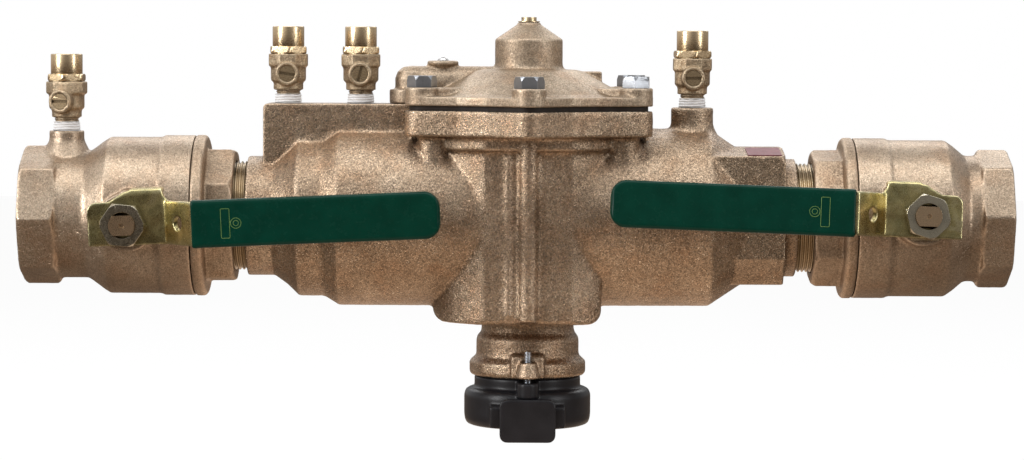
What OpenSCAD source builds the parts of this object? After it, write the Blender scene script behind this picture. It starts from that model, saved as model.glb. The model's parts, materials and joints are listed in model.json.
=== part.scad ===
// Reduced-pressure backflow preventer assembly with two quarter-turn ball valves,
// two in-line check modules, a diaphragm relief valve and four test cocks.
// Origin: centre of the inlet port face. +X runs along the flow, +Z is up,
// the levers and the core slots of the test cocks face the front, -Y.

/* [Body casting] */
// Distance from the inlet port face to the relief valve axis
body_cx = 278.8; // [278:0.1:280]
// Radius of the cast barrels
barrel_r = 49.4; // [49:0.1:50]
// Radius of the check valve chambers
chamber_r = 39.5; // [39.4:0.05:39.6]
// Radius of the vertical centre column
column_r = 55; // [54:0.1:56]
// Distance from the valve axis to the flat front and rear of the column
column_flat = 49.5; // [49.4:0.1:50]
// Height of the bolting face above the flow axis
flange_top = 59.4; // [59:0.1:59.5]
// Thickness of the body bolting flange
flange_t = 14; // [13:0.5:16]
// Radius of the bolt circle of the cover
bolt_circle_r = 67.1; // [66.8:0.1:67.4]
// Radius of a bolt lobe
lobe_r = 9.3; // [9:0.1:9.6]
// Half width of the test cock land on the inlet barrel
land_hw = 15.5; // [15:0.5:17]

/* [Pipe ends] */
// Wall radius of a 2 inch pipe thread socket
port_r = 30.2; // [30.18:0.01:30.24]
// Depth of a pipe thread socket
port_depth = 20; // [18:0.5:20]
// Outside radius of a 2 inch pipe nipple
nipple_r = 30.15; // [30.13:0.01:30.16]
// Bore radius of a pipe nipple
nipple_bore_r = 26.2; // [25:0.1:26.6]
// Corner radius of the octagonal wrench ends
octagon_r = 38.4; // [38.2:0.1:38.8]

/* [Ball valves] */
// Radius of the ball
ball_r = 31.5; // [31.3:0.05:31.6]
// Radius of the waterway through the ball
waterway_r = 22; // [20:0.5:22.2]
// Radius of the valve stem
stem_r = 8; // [7.9:0.05:8]
// Roll of the inlet valve about the flow axis
inlet_roll = 1.3; // [0:0.1:6]
// Roll of the outlet valve about the flow axis
outlet_roll = -3.9; // [-6:0.1:0]
// Lift of the inlet lever tip above the horizontal
inlet_tilt = 2.5; // [0:0.1:3]
// Lift of the outlet lever tip above the horizontal
outlet_tilt = 2.1; // [0:0.1:3]
// Distance from the stem axis to the end of the grip
lever_reach = 170; // [165:0.5:172]
// Width of the vinyl grip
grip_w = 25.3; // [24.5:0.1:26]

/* [Check modules] */
// Bore radius of a check seat
seat_bore_r = 24; // [22:0.5:24.5]
// Radius of a check poppet plate
poppet_r = 31; // [30:0.5:32]
// Mean coil radius of a check spring
check_coil_r = 12; // [11:0.5:13]
// Number of coils of a check spring
check_turns = 4; // [3:0.5:4]

/* [Relief valve] */
// Radius of the relief stem
relief_stem_r = 4; // [3.9:0.05:4]
// Radius of the relief disc
relief_disc_r = 21; // [20:0.5:21.5]
// Thickness of the diaphragm
diaphragm_t = 2.6; // [2.55:0.01:2.6]
// Radius of the diaphragm
diaphragm_r = 58.5; // [56:0.5:58.5]
// Mean coil radius of the relief spring
relief_coil_r = 16; // [15:0.5:17]
// Radius of the bonnet of the cover
bonnet_r = 18.7; // [18.2:0.1:19.2]

/* [Test cocks] */
// Overall height of a test cock above its land
cock_h = 42.4; // [41:0.1:43]
// Radius of a test cock inlet thread
cock_thread_r = 6.85; // [6.8:0.01:6.86]
// Turn of the third test cock core from closed
cock3_turn = 75; // [0:5:90]

/* [Discharge] */
// Radius of the discharge outlet
outlet_r = 21; // [20:0.5:21.5]
// Outside radius of the discharge ring
ring_r = 35.1; // [34.5:0.1:36]

/* [Hidden] */
$fn = 96;

bronze = [0.72, 0.55, 0.40];
pale_bronze = [0.78, 0.63, 0.50];
brass = [0.80, 0.66, 0.36];
zinc = [0.70, 0.73, 0.78];
olive = [0.62, 0.58, 0.30];
green = [0.02, 0.28, 0.18];
black = [0.07, 0.07, 0.08];
ptfe = [0.94, 0.94, 0.92];
rubber = [0.12, 0.12, 0.12];
plastic = [0.85, 0.83, 0.76];
maroon = [0.45, 0.12, 0.17];

// X places below are from the relief valve axis
cock_x = [-255.7, -133, -92.9, 90.5];
cock_z = [46.6, 62.4, 62.4, 60.9]; // heights of the test cock lands
cock_yaw = [-10, 0, 0, 0];
core_turn = [0, 8, -cock3_turn, 0];
inlet_stem_x = -216.7;
outlet_stem_x = 212.9;
check1_x = -106; // seat shoulders of the check modules
check2_x = 48;
snap_ring1_x = check1_x + 46; // downstream of the first module
snap_ring2_x = check2_x - 2.15; // upstream of the second module
sensing_x = -69.2; // sensing passage between body and cover
sensing_z = 74; // sensing passage inside the cover
bleed_x = -47.5;
ring_screw_y = 41; // offset of the two discharge ring screws
lobe_angles = [30, 90, 150, 210, 270, 330];
diaphragm_top = flange_top + diaphragm_t;

// ---------------------------------------------------------------- shape helpers
// A solid of revolution about X, from [radius, x] points
module turned_x(profile) { rotate([0, 90, 0]) rotate_extrude() polygon(profile); }
// A solid of revolution about Z, from [radius, z] points
module turned_z(profile) { rotate_extrude() polygon(profile); }
module rod_x(start, end, radius) {
  translate([start, 0, 0]) rotate([0, 90, 0]) cylinder(h = end - start, r = radius);
}
// A cylinder along -Y, between two distances in front of the XZ plane
module rod_front(start, end, radius) {
  translate([0, -start, 0]) rotate([90, 0, 0]) cylinder(h = end - start, r = radius);
}
module rod_z(start, end, radius) {
  translate([0, 0, start]) cylinder(h = end - start, r = radius);
}
// An XZ outline extruded from y towards -Y
module plate_front(y, thickness) {
  translate([0, y, 0]) rotate([90, 0, 0]) linear_extrude(thickness) children();
}
// A YZ outline extruded from x towards +X
module plate_x(x, thickness) {
  translate([x, 0, 0]) rotate([90, 0, 90]) linear_extrude(thickness) children();
}
module torus(radius, wire_r) { rotate_extrude() translate([radius, 0]) circle(r = wire_r); }

// An octagonal prism along X with a corner at an angle above the -Y direction
module octagon_x(start, end, radius, angle) {
  translate([start, 0, 0]) rotate([0, 90, 0]) rotate([0, 0, 270 - angle])
    cylinder(h = end - start, r = radius, $fn = 8);
}
// An octagonal wrench end whose corners are turned down at both faces
module wrench_end(start, end, radius, angle, chamfer) {
  intersection() {
    octagon_x(start, end, radius, angle);
    turned_x([[0, start], [radius - chamfer, start], [radius + 0.2, start + chamfer],
      [radius + 0.2, end - chamfer], [radius - chamfer, end], [0, end]]);
  }
}

// A round wire swept along a helix, standing on z = 0
module coil(radius, wire_r, height, turns) {
  steps_per_turn = 20;
  sides = 8;
  steps = round(turns * steps_per_turn);
  points = [for (i = [0:steps])
    let (angle = 360 * i / steps_per_turn, z = wire_r + (height - 2 * wire_r) * i / steps)
    for (k = [0:sides - 1])
      let (around = 360 * k / sides, reach = radius + wire_r * cos(around))
      [reach * cos(angle), reach * sin(angle), z + wire_r * sin(around)]];
  start_cap = [for (k = [0:sides - 1]) k];
  end_cap = [for (k = [sides - 1:-1:0]) steps * sides + k];
  walls = [for (i = [0:steps - 1]) for (k = [0:sides - 1])
    let (next = (k + 1) % sides)
    [i * sides + k, (i + 1) * sides + k, (i + 1) * sides + next, i * sides + next]];
  polyhedron(points = points, faces = concat([start_cap], [end_cap], walls));
}

// ---------------------------------------------------------------- placement
module at_centre() { translate([body_cx, 0, 0]) children(); }
module at_inlet() {
  translate([body_cx + inlet_stem_x, 0, 0]) rotate([inlet_roll, 0, 0]) children();
}
module at_outlet() {
  translate([body_cx + outlet_stem_x, 0, 0]) mirror([1, 0, 0]) rotate([outlet_roll, 0, 0])
    children();
}
module at_land(i) { translate([body_cx + cock_x[i], 0, cock_z[i]]) children(); }
module at_cock(i) { at_land(i) rotate([0, 0, cock_yaw[i]]) children(); }
module at_check(check_x) { translate([body_cx + check_x, 0, 0]) children(); }

function polar(radius, angle) = [radius * cos(angle), radius * sin(angle)];
module at_bolts(z) {
  for (angle = lobe_angles) translate(concat(polar(bolt_circle_r, angle), [z])) children();
}
module at_ring_screws(z) {
  for (side = [-1, 1]) translate([0, side * ring_screw_y, z]) children();
}

// Outline shared by the body flange and the cover: six lobes joined by flats
module lobed_outline() {
  polygon([for (a = lobe_angles)
    each [polar(62.2, a - 21.7), polar(74.1, a - 5.0), polar(74.1, a + 5.0), polar(62.2, a + 21.7)]]);
  for (a = lobe_angles) translate(polar(bolt_circle_r, a)) circle(r = lobe_r);
}

// ---------------------------------------------------------------- main body
column_bulge_r = 58; // top of the column, below the flange
column_bulge_flat = 52.8;
sump_bottom = -56.3;
land_x = -146; // upstream end of the test cock land
land_top = cock_z[1];
land_round = 2.5;
neck_bottom = -87.4;
// Flat-sided block at the outlet end
block_hw = 35.2;
block_shoulder_z = 35.3;
block_top = 39.2;
block_crown_hw = 8;

// [radius, x]
barrel_profile = [[0, -154.8], [33, -154.8], [33, -140], [38, -133], [44.3, -126.5],
  [44.3, -112.7], [barrel_r, -104.3], [barrel_r, 20], [barrel_r - 0.3, 98.5],
  [barrel_r - 0.3, 99.7], [34, 122.4], [34, 140.2], [32.6, 140.4], [32.6, 147.5], [0, 147.5]];
// [y, z]
block_outline = [[-block_hw, -21.2], [-block_hw, block_shoulder_z], [-block_crown_hw, block_top],
  [block_crown_hw, block_top], [block_hw, block_shoulder_z], [block_hw, -21.2],
  [22, -35.8], [-22, -35.8]];
// [radius, z]
cock4_boss_profile = [[0, 30], [14.6, 44], [13.2, 47.6], [11.9, 50.6], [11.65, 52.5],
  [11.65, cock_z[3]], [0, cock_z[3]]];
neck_profile = [[0, neck_bottom], [31.2, neck_bottom], [32.2, -86], [32.2, -80], [30, -78],
  [28.4, -77], [28.4, -67.4], [27.4, -65.4], [25.6, -63.6], [25.6, -55], [0, -55]];
neck_ear_profile = [[0, -86], [6.2, -86], [6.4, -85.2], [4.3, -77.2], [0, -77.2]];

// Plan of the centre column: a circle with a flat front and rear
module column_plan(radius, flat) {
  intersection() {
    circle(r = radius);
    square([2 * radius + 4, 2 * flat], center = true);
  }
}
// Side outline of the sump, with rounded lower corners
module sump_side(start, end, corner_r) {
  corner_z = sump_bottom + corner_r;
  translate([start, corner_z]) square([end - start, 50 - corner_r]);
  translate([start + corner_r, sump_bottom])
    square([end - start - 2 * corner_r, corner_r + 1]);
  for (x = [start + corner_r, end - corner_r]) translate([x, corner_z]) circle(r = corner_r);
}
module outlet_block() {
  intersection() {
    plate_x(97, 43) polygon(block_outline);
    turned_x([[0, 97], [52, 97], [52, 136.5], [47, 140], [0, 140]]);
  }
}
// Land for the two test cocks on the inlet barrel, with its upstream top edge rounded
module cock_land() {
  difference() {
    translate([land_x, -land_hw, 0]) cube([86, 2 * land_hw, land_top]);
    translate([land_x - 0.1, -land_hw - 1, land_top - land_round])
      cube([land_round + 0.1, 2 * land_hw + 2, 2.6]);
    // clearance under the cover plate
    translate([0, 0, flange_top]) linear_extrude(4)
      polygon([polar(62.6, 171.7), polar(74.5, 155), [-50, 31],
        [-50, -31], polar(74.5, 205), polar(62.6, 188.3)]);
  }
  translate([land_x + land_round, land_hw, land_top - land_round]) rotate([90, 0, 0])
    cylinder(h = 2 * land_hw, r = land_round);
}
module centre_column() {
  translate([0, 0, -20]) linear_extrude(58) column_plan(column_r, column_flat);
  translate([0, 0, 38]) linear_extrude(8) column_plan(column_bulge_r, column_bulge_flat);
  // sump
  intersection() {
    translate([0, 0, -57]) linear_extrude(47) column_plan(column_r, column_flat);
    plate_front(60, 120) sump_side(-52.3, 39.7, 7);
    plate_x(-60, 120) sump_side(-column_flat - 0.1, column_flat + 0.1, 3);
  }
  // vertical ribs down the front
  translate([0, -48.6, -54.5]) cylinder(h = 99.5, r = 5.4);
  translate([-11, -49.2, -52]) cylinder(h = 97, r = 1.8);
}
module bolting_flange() {
  translate([0, 0, flange_top - flange_t]) linear_extrude(flange_t) lobed_outline();
  // pads below four of the lobes
  for (a = [30, 150, 210, 330]) translate(concat(polar(60, a), [24])) cylinder(h = 24, r = 8.5);
}
module discharge_neck() {
  turned_z(neck_profile);
  at_ring_screws(0) turned_z(neck_ear_profile);
  for (side = [-1, 1]) {
    translate([-9, side > 0 ? 26 : -38.5, -86.4]) cube([18, 12.5, 12.4]);
    translate([-5.4, side > 0 ? 34 : -ring_screw_y, -86.4]) cube([10.8, 7, 6.4]);
  }
}
module body_outside() {
  turned_x(barrel_profile);
  outlet_block();
  cock_land();
  translate([cock_x[3], 0, 0]) turned_z(cock4_boss_profile);
  centre_column();
  bolting_flange();
  discharge_neck();
}
module main_body() {
  color(bronze) at_centre() difference() {
    body_outside();
    // inlet socket, waterway, first check chamber and its ring groove
    rod_x(-155, -128, port_r);
    rod_x(-129, check1_x + 1, 26);
    rod_x(check1_x, -44, chamber_r);
    rod_x(snap_ring1_x - 0.2, snap_ring1_x + 2.2, 41.4);
    // centre chamber, second check chamber, its ring groove and outlet socket
    rod_x(-50, 42, 40);
    rod_x(40, check2_x + 46.2, chamber_r);
    rod_x(snap_ring2_x - 0.15, snap_ring2_x + 2.1, 41.4);
    rod_x(93, 129, 26);
    rod_x(127.5, 148, port_r);
    // top opening under the diaphragm and the ledge for the guide
    rod_z(30, 60, 44);
    rod_z(5, 31, 41.5);
    // relief seat pocket and outlet
    rod_z(-50, -30, 24.5);
    rod_z(-88, -49, outlet_r);
    at_bolts(46) cylinder(h = 15, r = 4.85);
    at_ring_screws(-92) cylinder(h = 22, r = 2.1);
    // test cock ports
    for (i = [1, 2, 3]) translate([cock_x[i], 0, cock_z[i] - 9.6]) {
      cylinder(h = 11, r = cock_thread_r + 0.05);
      translate([0, 0, -32]) cylinder(h = 33, r = 3.6);
    }
    // sensing passage from the inlet side to the cover
    translate([-118, 7, 20]) cylinder(h = 25, r = 2);
    translate([-118, 7, 45]) rotate([0, 90, 0]) cylinder(h = 49, r = 2);
    translate([sensing_x, 2.6, 45]) rotate([-90, 0, 0]) cylinder(h = 5, r = 2);
    translate([sensing_x, 2.6, 43.5]) cylinder(h = 20, r = 2);
  }
}

// ---------------------------------------------------------------- nipples
nipple_chamfer = 0.8;

module nipple(start, end) {
  end_r = nipple_r - nipple_chamfer;
  difference() {
    turned_x([[0, start], [end_r, start], [nipple_r, start + nipple_chamfer],
      [nipple_r, end - nipple_chamfer], [end_r, end], [0, end]]);
    rod_x(start - 1, end + 1, nipple_bore_r);
  }
}
module inlet_nipple() { color(brass) at_centre() nipple(-181.5, -129.2); }
module outlet_nipple() { color(brass) at_centre() nipple(128.6, 175.4); }

// ---------------------------------------------------------------- ball valves
// Local frame: origin at the ball centre, port end at -x, retainer at +x, stem along -y
inlet_port_x = -62.1; // port face
outlet_port_x = -52.5;
inlet_seam_x = 32.6; // where body and retainer meet
outlet_seam_x = 33.5;
seat_pocket_r = 29.3;
packing_r = 12; // outside radius of packing and gland
packing_front = 53.9;
stem_hole_r = stem_r + 0.06; // hole through packing and gland
// Lever stops: [x0, z0, x1, z1]
inlet_stops = [[-2.5, 12, 3, 17], [11, -11, 15.4, -4]];
outlet_stops = [[14, 9, 20.5, 15.4], [-18.6, -4, -13, 3]];

module valve_outside(port_x, wrench_x, neck_x, cone_x, seam_x, stops, tilt) {
  wrench_end(port_x, wrench_x, octagon_r, 0, 1.6);
  turned_x([[0, port_x + 1], [34.8, port_x + 1.2], [34.8, neck_x], [40.5, cone_x - 4.2],
    [43.3, cone_x], [43.3, 14.6], [44.3, 15.6], [44.3, seam_x], [0, seam_x]]);
  // stem boss with the two lever stops
  rod_front(30, 56, 15.8);
  rotate([0, -tilt, 0]) for (stop = stops)
    translate([stop[0], -55.8, stop[1]]) cube([stop[2] - stop[0], 22, stop[3] - stop[1]]);
}
module valve_inside(port_x, seam_x) {
  // socket, waterway, seat pocket, ball chamber and retainer recess
  rod_x(port_x - 1, port_x + port_depth, port_r);
  rod_x(port_x + port_depth - 1, 0, waterway_r + 0.5);
  rod_x(-23, -15, seat_pocket_r);
  rod_x(-17, seam_x + 1, 33);
  rod_x(17.8, seam_x + 1, 38.1);
  // stem bore, room for its collar, and packing box
  rod_front(20, 60, stem_r + 0.05);
  rod_front(20, 36, 10.6);
  rod_front(48, 60, packing_r + 0.05);
}
module inlet_valve_body() {
  color(pale_bronze) difference() {
    union() {
      at_inlet() valve_outside(inlet_port_x, -42.3, -26.3, -14.3, inlet_seam_x,
        inlet_stops, inlet_tilt);
      // boss for the first test cock
      at_land(0) turned_z([[0, -24], [15, -16], [11.4, -9], [9.6, -5], [9.6, 0], [0, 0]]);
    }
    at_inlet() valve_inside(inlet_port_x, inlet_seam_x);
    at_land(0) {
      rod_z(-9.6, 1, cock_thread_r + 0.05);
      rod_z(-28, -9, 2.6);
    }
  }
}
module outlet_valve_body() {
  color(pale_bronze) at_outlet() difference() {
    valve_outside(outlet_port_x, -35.3, -28.1, -17.1, outlet_seam_x, outlet_stops, outlet_tilt);
    valve_inside(outlet_port_x, outlet_seam_x);
  }
}

// Retainer: spigot inside the valve body, flange at the seam and octagonal socket end
module retainer(seam_x, end, angle) {
  difference() {
    union() {
      turned_x([[0, 18], [38, 18], [38, seam_x + 0.05], [43.6, seam_x + 0.05],
        [44.5, seam_x + 1.2], [44.5, seam_x + 5.5], [43, seam_x + 6.8], [36, seam_x + 7.2],
        [0, seam_x + 7.2]]);
      wrench_end(seam_x + 5, end, octagon_r, angle, 2.6);
    }
    rod_x(17, 23, seat_pocket_r);
    rod_x(22, end, waterway_r + 0.5);
    rod_x(end - port_depth - 0.3, end + 1, port_r);
  }
}
// The inlet retainer does not follow the roll of its valve
module inlet_valve_retainer() {
  color(bronze) translate([body_cx + inlet_stem_x, 0, 0]) retainer(inlet_seam_x, 55.1, 29.3);
}
module outlet_valve_retainer() {
  color(bronze) at_outlet() retainer(outlet_seam_x, 56.6, 8.4);
}

// Ball with its waterway, and a slot at the front for the stem tang
module ball_solid(tilt) {
  difference() {
    rotate([0, 90, 0]) rotate_extrude() intersection() {
      circle(r = ball_r);
      translate([waterway_r, -40]) square([20, 80]);
    }
    rotate([0, -tilt, 0]) translate([-8.1, -40, -4.05]) cube([16.2, 13.5, 8.1]);
  }
}
module inlet_ball() { color(zinc) at_inlet() ball_solid(inlet_tilt); }
module outlet_ball() { color(zinc) at_outlet() ball_solid(outlet_tilt); }

stem_tip_r = 7;

module stem_solid() {
  // tang in the ball
  translate([-8, -33, -4]) cube([16, 6.4, 8]);
  difference() {
    union() {
      rod_front(32.6, 35.9, 10.5);
      rod_front(35, 61.5, stem_r);
      // tip with flats above and below
      intersection() {
        rod_front(61, 76, stem_tip_r);
        translate([-8, -77, -5.3]) cube([16, 20, 10.6]);
      }
    }
    translate([0, -75.4, 0]) rotate([90, 0, 0]) cylinder(h = 2, r1 = 1.0, r2 = 1.7);
  }
}
module inlet_stem() { color(bronze) at_inlet() rotate([0, -inlet_tilt, 0]) stem_solid(); }
module outlet_stem() { color(bronze) at_outlet() rotate([0, -outlet_tilt, 0]) stem_solid(); }

// Lever: plate on the stem with a folded stop ear, a cranked strap and a flat bar in the grip
lever_back = -62; // rear face of the plate
lever_t = 3;
lever_front = lever_back - lever_t;
bar_front = -85.5; // front face of the bar
bar_w = 19;
bar_end = 160.5;
strap_w = 23.6;
tip_hole_r = stem_tip_r + 0.05; // hole in lever and nut for the stem tip
// [x, z]
lever_plate_outline = [[-19.5, -11.5], [24, -11.5], [24, 12], [22, 14.5], [21.4, 17.4],
  [0.6, 17.4], [-3, 15], [-8, 12], [-14.5, 12], [-19.5, 7]];
// [x, y]
strap_outline = [[22.6, lever_back], [23.6, lever_back], [40.6, -82.5], [40.6, bar_front],
  [38.4, bar_front], [22.2, lever_front], [20, lever_front], [20, lever_back]];

module lever_solid(tilt) {
  rotate([0, -tilt, 0]) difference() {
    union() {
      plate_front(lever_back, lever_t) union() {
        polygon(lever_plate_outline);
        translate([-14.5, 7]) circle(r = 5);
      }
      // ear folded back towards the valve
      translate([3.2, -64.2, 15.6]) cube([18, 13, lever_t]);
      translate([3.2, lever_back, 15.6]) rotate([0, 90, 0]) cylinder(h = 18, r = lever_t);
      // short lip folded back at the edge away from the grip
      translate([-19.5, -64, -11.5]) cube([2.8, 7, 14.5]);
      // cranked strap and bar
      translate([0, 0, -strap_w / 2]) linear_extrude(strap_w) polygon(strap_outline);
      translate([38.5, bar_front, -bar_w / 2]) cube([bar_end - 38.5, lever_t, bar_w]);
    }
    rod_front(61, 66, tip_hole_r);
    // hole through the sloping part of the strap
    translate([30.8, -73.6, 0]) rotate([90, 0, 0]) rotate([0, -48.7, 0])
      cylinder(h = 12, r = 3.85, center = true);
  }
  // segments that fill the hole above and below the flats of the stem tip
  rotate([0, -tilt, 0]) for (side = [-1, 1]) intersection() {
    translate([-8, lever_front, side * 6.9 - 1.55]) cube([16, lever_t, 3.1]);
    rod_front(61.9, 65.1, 7.4);
  }
}
module inlet_lever() { color(olive) at_inlet() lever_solid(inlet_tilt); }
module outlet_lever() { color(olive) at_outlet() lever_solid(outlet_tilt); }

module grip_solid(tilt, start) {
  corner_r = 8.6;
  fit = 0.05; // clearance around the bar
  rotate([0, -tilt, 0]) difference() {
    plate_front(-80.6, 6.8) union() {
      translate([start, -grip_w / 2]) square([lever_reach - start - corner_r, grip_w]);
      translate([lever_reach - 9, -grip_w / 2 + corner_r]) square([9, grip_w - 2 * corner_r]);
      for (side = [-1, 1])
        translate([lever_reach - corner_r, side * (grip_w / 2 - corner_r)]) circle(r = corner_r);
    }
    translate([38, bar_front - fit, -bar_w / 2 - fit])
      cube([bar_end + fit - 38, lever_t + 2 * fit, bar_w + 2 * fit]);
    // room for the end of the strap
    translate([38, -88, -11.9]) cube([2.7, 8, 23.8]);
  }
}
module inlet_grip() { color(green) at_inlet() grip_solid(inlet_tilt, 38.3); }
module outlet_grip() { color(green) at_outlet() grip_solid(outlet_tilt, 40.4); }

module nut_solid(tilt, turn) {
  rotate([0, -tilt, 0]) difference() {
    intersection() {
      translate([0, lever_front - 0.05, 0]) rotate([90, 0, 0]) rotate([0, 0, turn])
        cylinder(h = 8.95, r = 12.7, $fn = 6);
      translate([0, lever_front, 0]) rotate([90, 0, 0]) cylinder(h = 9.1, r1 = 14.8, r2 = 11.6);
    }
    rod_front(64, 75, tip_hole_r);
  }
}
module inlet_lever_nut() { color(zinc) at_inlet() nut_solid(inlet_tilt, -7); }
module outlet_lever_nut() { color(zinc) at_outlet() nut_solid(outlet_tilt, 15); }

// PTFE seats either side of each ball
module seat_pair() {
  for (flip = [0, 1]) mirror([flip, 0, 0]) difference() {
    rod_x(-22.95, -17.6, seat_pocket_r - 0.1);
    rod_x(-24, -16, waterway_r + 0.6);
    sphere(r = ball_r + 0.03);
  }
}
module ball_seats() {
  color(ptfe) {
    at_inlet() seat_pair();
    at_outlet() seat_pair();
  }
}
module packing() {
  difference() {
    rod_front(48.1, packing_front, packing_r);
    rod_front(47, 55, stem_hole_r);
  }
}
module stem_packings() {
  color(ptfe) {
    at_inlet() packing();
    at_outlet() packing();
  }
}
module gland() {
  difference() {
    union() {
      rod_front(packing_front + 0.1, 57, packing_r);
      translate([0, -56.1, 0]) rotate([90, 0, 0]) cylinder(h = 2.8, r = 14.6, $fn = 6);
    }
    rod_front(53, 62, stem_hole_r);
  }
}
module packing_glands() {
  color(brass) {
    at_inlet() gland();
    at_outlet() gland();
  }
}

// ---------------------------------------------------------------- test cocks
// Local frame: z = 0 on the land
core_z = 16.3; // height of the core axis
core_r = 4.3;
// [radius, z]
cock_profile = [[0, -9], [6, -9], [cock_thread_r, -8], [cock_thread_r, 7.5], [8.2, 7.5],
  [8.2, 11.4], [9.75, 12.6], [9.75, 19.8], [8.6, 20.6], [0, 20.6]];

module cock_body() {
  difference() {
    union() {
      turned_z(cock_profile);
      translate([0, 0, 20.3]) rotate([0, 0, 22.5]) cylinder(h = 6.9, r = 11.5, $fn = 8);
      translate([0, 0, core_z]) rod_front(0, 13.4, 6.4);
      translate([0, 0, core_z]) rod_front(-9, 0, 6.4);
    }
    rod_z(-10, 28, 3);
    rod_z(21, 28, 6.95);
    translate([0, 0, core_z]) rod_front(-6.1, 14, core_r + 0.05);
  }
}
module testcock_1_body() { color(brass) at_cock(0) cock_body(); }
module testcock_2_body() { color(brass) at_cock(1) cock_body(); }
module testcock_3_body() { color(brass) at_cock(2) cock_body(); }
module testcock_4_body() { color(brass) at_cock(3) cock_body(); }

// Core with its cross bore, front slot and O-ring groove
module cock_core(i) {
  at_cock(i) translate([0, 0, core_z]) rotate([0, core_turn[i], 0]) difference() {
    rod_front(-6, 13, core_r);
    rod_x(-5, 5, 2.6);
    translate([-5, -13.5, -0.8]) cube([10, 2.2, 1.6]);
    difference() {
      rod_front(7, 8.8, 5);
      rod_front(6.5, 9, 3.05);
    }
  }
}
module testcock_1_core() { color(brass) cock_core(0); }
module testcock_2_core() { color(brass) cock_core(1); }
module testcock_3_core() { color(brass) cock_core(2); }
module testcock_4_core() { color(brass) cock_core(3); }

module end_piece() {
  difference() {
    union() {
      rod_z(21.3, 28, 6.9);
      translate([0, 0, 27.25]) rotate([0, 0, 8]) cylinder(h = 4.1, r = 11.2, $fn = 6);
      turned_z([[0, 31], [8.75, 31], [8.75, cock_h - 0.6], [8.15, cock_h], [0, cock_h]]);
    }
    rod_z(20, cock_h + 1, 4.2);
    rod_z(cock_h - 12, cock_h + 1, 6.7);
  }
}
module testcock_end_pieces() { color(brass) for (i = [0:3]) at_cock(i) end_piece(); }
module thread_tapes() {
  color(ptfe) for (i = [0:3]) at_land(i) difference() {
    turned_z([[0, 0.05], [8.1, 0.05], [8.1, 2.2], [7.5, 4.9], [0, 4.9]]);
    rod_z(-1, 6, cock_thread_r + 0.05);
  }
}

// ---------------------------------------------------------------- relief valve
relief_bore_r = relief_stem_r + 0.05; // hole for the stem in plates, nut and diaphragm
relief_ring_z = -46.5; // O-ring of the relief seat
relief_pocket_r = 24.5;
bolt_head_z = 72.05;
bolt_turns = [0, 14, 26, 8, 0, 26]; // turn of each bolt head
// [radius, z]
cover_profile = [[0, 63], [56, 63], [56, 67.5], [52, 68.4], [30, 80.6], [26, 81.5], [20.5, 81.5],
  [19.2, 82.4], [bonnet_r, 84.5], [bonnet_r, 97.9], [bonnet_r - 0.6, 98.5], [6.3, 106.5],
  [6.3, 107.6], [0, 107.6]];
elbow_profile = [[0, 64], [9.4, 64], [9.4, 76.5], [8, 80.2], [5, 82.6], [0, 83.4]];
bleed_boss_profile = [[0, 74], [2, 76], [7.6, 83.6], [8.6, 84.2], [8.6, 85.6], [8, 86.2],
  [0, 86.2]];
pressure_chamber_profile = [[0, 60], [49, 60], [48, 66.2], [31, 76], [12.5, 76], [12.5, 84],
  [0, 84]];
disc_holder_profile = [[0, -40.2], [22.6, -40.2], [22.6, -35.8], [21.8, -35], [8, -32],
  [8, -24], [0, -24]];

module relief_cover() {
  color(pale_bronze) at_centre() difference() {
    union() {
      translate([0, 0, diaphragm_top + 0.02]) linear_extrude(5) lobed_outline();
      // bolt bosses and the webs that join them to the dome
      at_bolts(62.5) cylinder(h = 9.5, r = lobe_r - 0.1);
      for (a = lobe_angles) rotate([0, 0, a]) translate([44, -7, 63]) cube([22, 14, 8.7]);
      turned_z(cover_profile);
      // sensing passage housing with its foot, elbow and bleed boss
      translate([-66, 0, 62.45]) cylinder(h = 7.8, r = 11);
      translate([-64.5, 0, 0]) turned_z(elbow_profile);
      translate([0, 0, sensing_z]) rod_x(-64.5, -15, 9.2);
      translate([bleed_x, 0, 0]) turned_z(bleed_boss_profile);
      // cast rib and pad behind the bonnet
      translate([15, 8, 66]) cube([20.5, 7, 14.5]);
      translate([35.3, 6.5, 68]) cube([5.4, 10, 12.5]);
    }
    turned_z(pressure_chamber_profile);
    rod_z(80, 99, relief_stem_r + 0.06);
    rod_z(98.5, 109, 3.05);
    at_bolts(60) cylinder(h = 13, r = 5.2);
    // sensing passage, bleed hole and O-ring groove
    translate([sensing_x, 1, 61]) cylinder(h = 14, r = 3.2);
    translate([0, 0, sensing_z]) rod_x(-70, -28, 3);
    translate([bleed_x, 0, sensing_z]) cylinder(h = 14, r = 1.6);
    translate([sensing_x, 0, 62]) difference() {
      cylinder(h = 2.05, r = 6.9);
      translate([0, 0, -0.1]) cylinder(h = 3, r = 4.8);
    }
  }
}
module bolt_solid(turn) {
  rod_z(47.5, 73, 4.76);
  intersection() {
    translate([0, 0, bolt_head_z]) rotate([0, 0, turn]) cylinder(h = 6.2, r = 8.25, $fn = 6);
    translate([0, 0, bolt_head_z]) cylinder(h = 6.25, r1 = 9.4, r2 = 7.5);
  }
}
module cover_bolts() {
  color(zinc) at_centre() for (i = [0:5])
    translate(concat(polar(bolt_circle_r, lobe_angles[i]), [0])) bolt_solid(bolt_turns[i]);
}
module bonnet_screw() {
  color(brass) at_centre() difference() {
    union() {
      rod_z(100, 108, 3);
      rod_z(107.65, 110.4, 4.2);
      rod_z(107.65, 108.2, 6);
    }
    rotate([0, 0, 20]) translate([-6, -0.6, 109.2]) cube([12, 1.2, 3]);
  }
}
module bleed_screw() {
  color(zinc) at_centre() translate([bleed_x, 0, 0]) difference() {
    union() {
      rod_z(78, 87, 1.55);
      intersection() {
        translate([0, 0, 85.2]) sphere(r = 3.3);
        rod_z(86.25, 90, 3.2);
      }
    }
    translate([-4, -0.45, 87.7]) cube([8, 0.9, 2]);
  }
}
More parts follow.
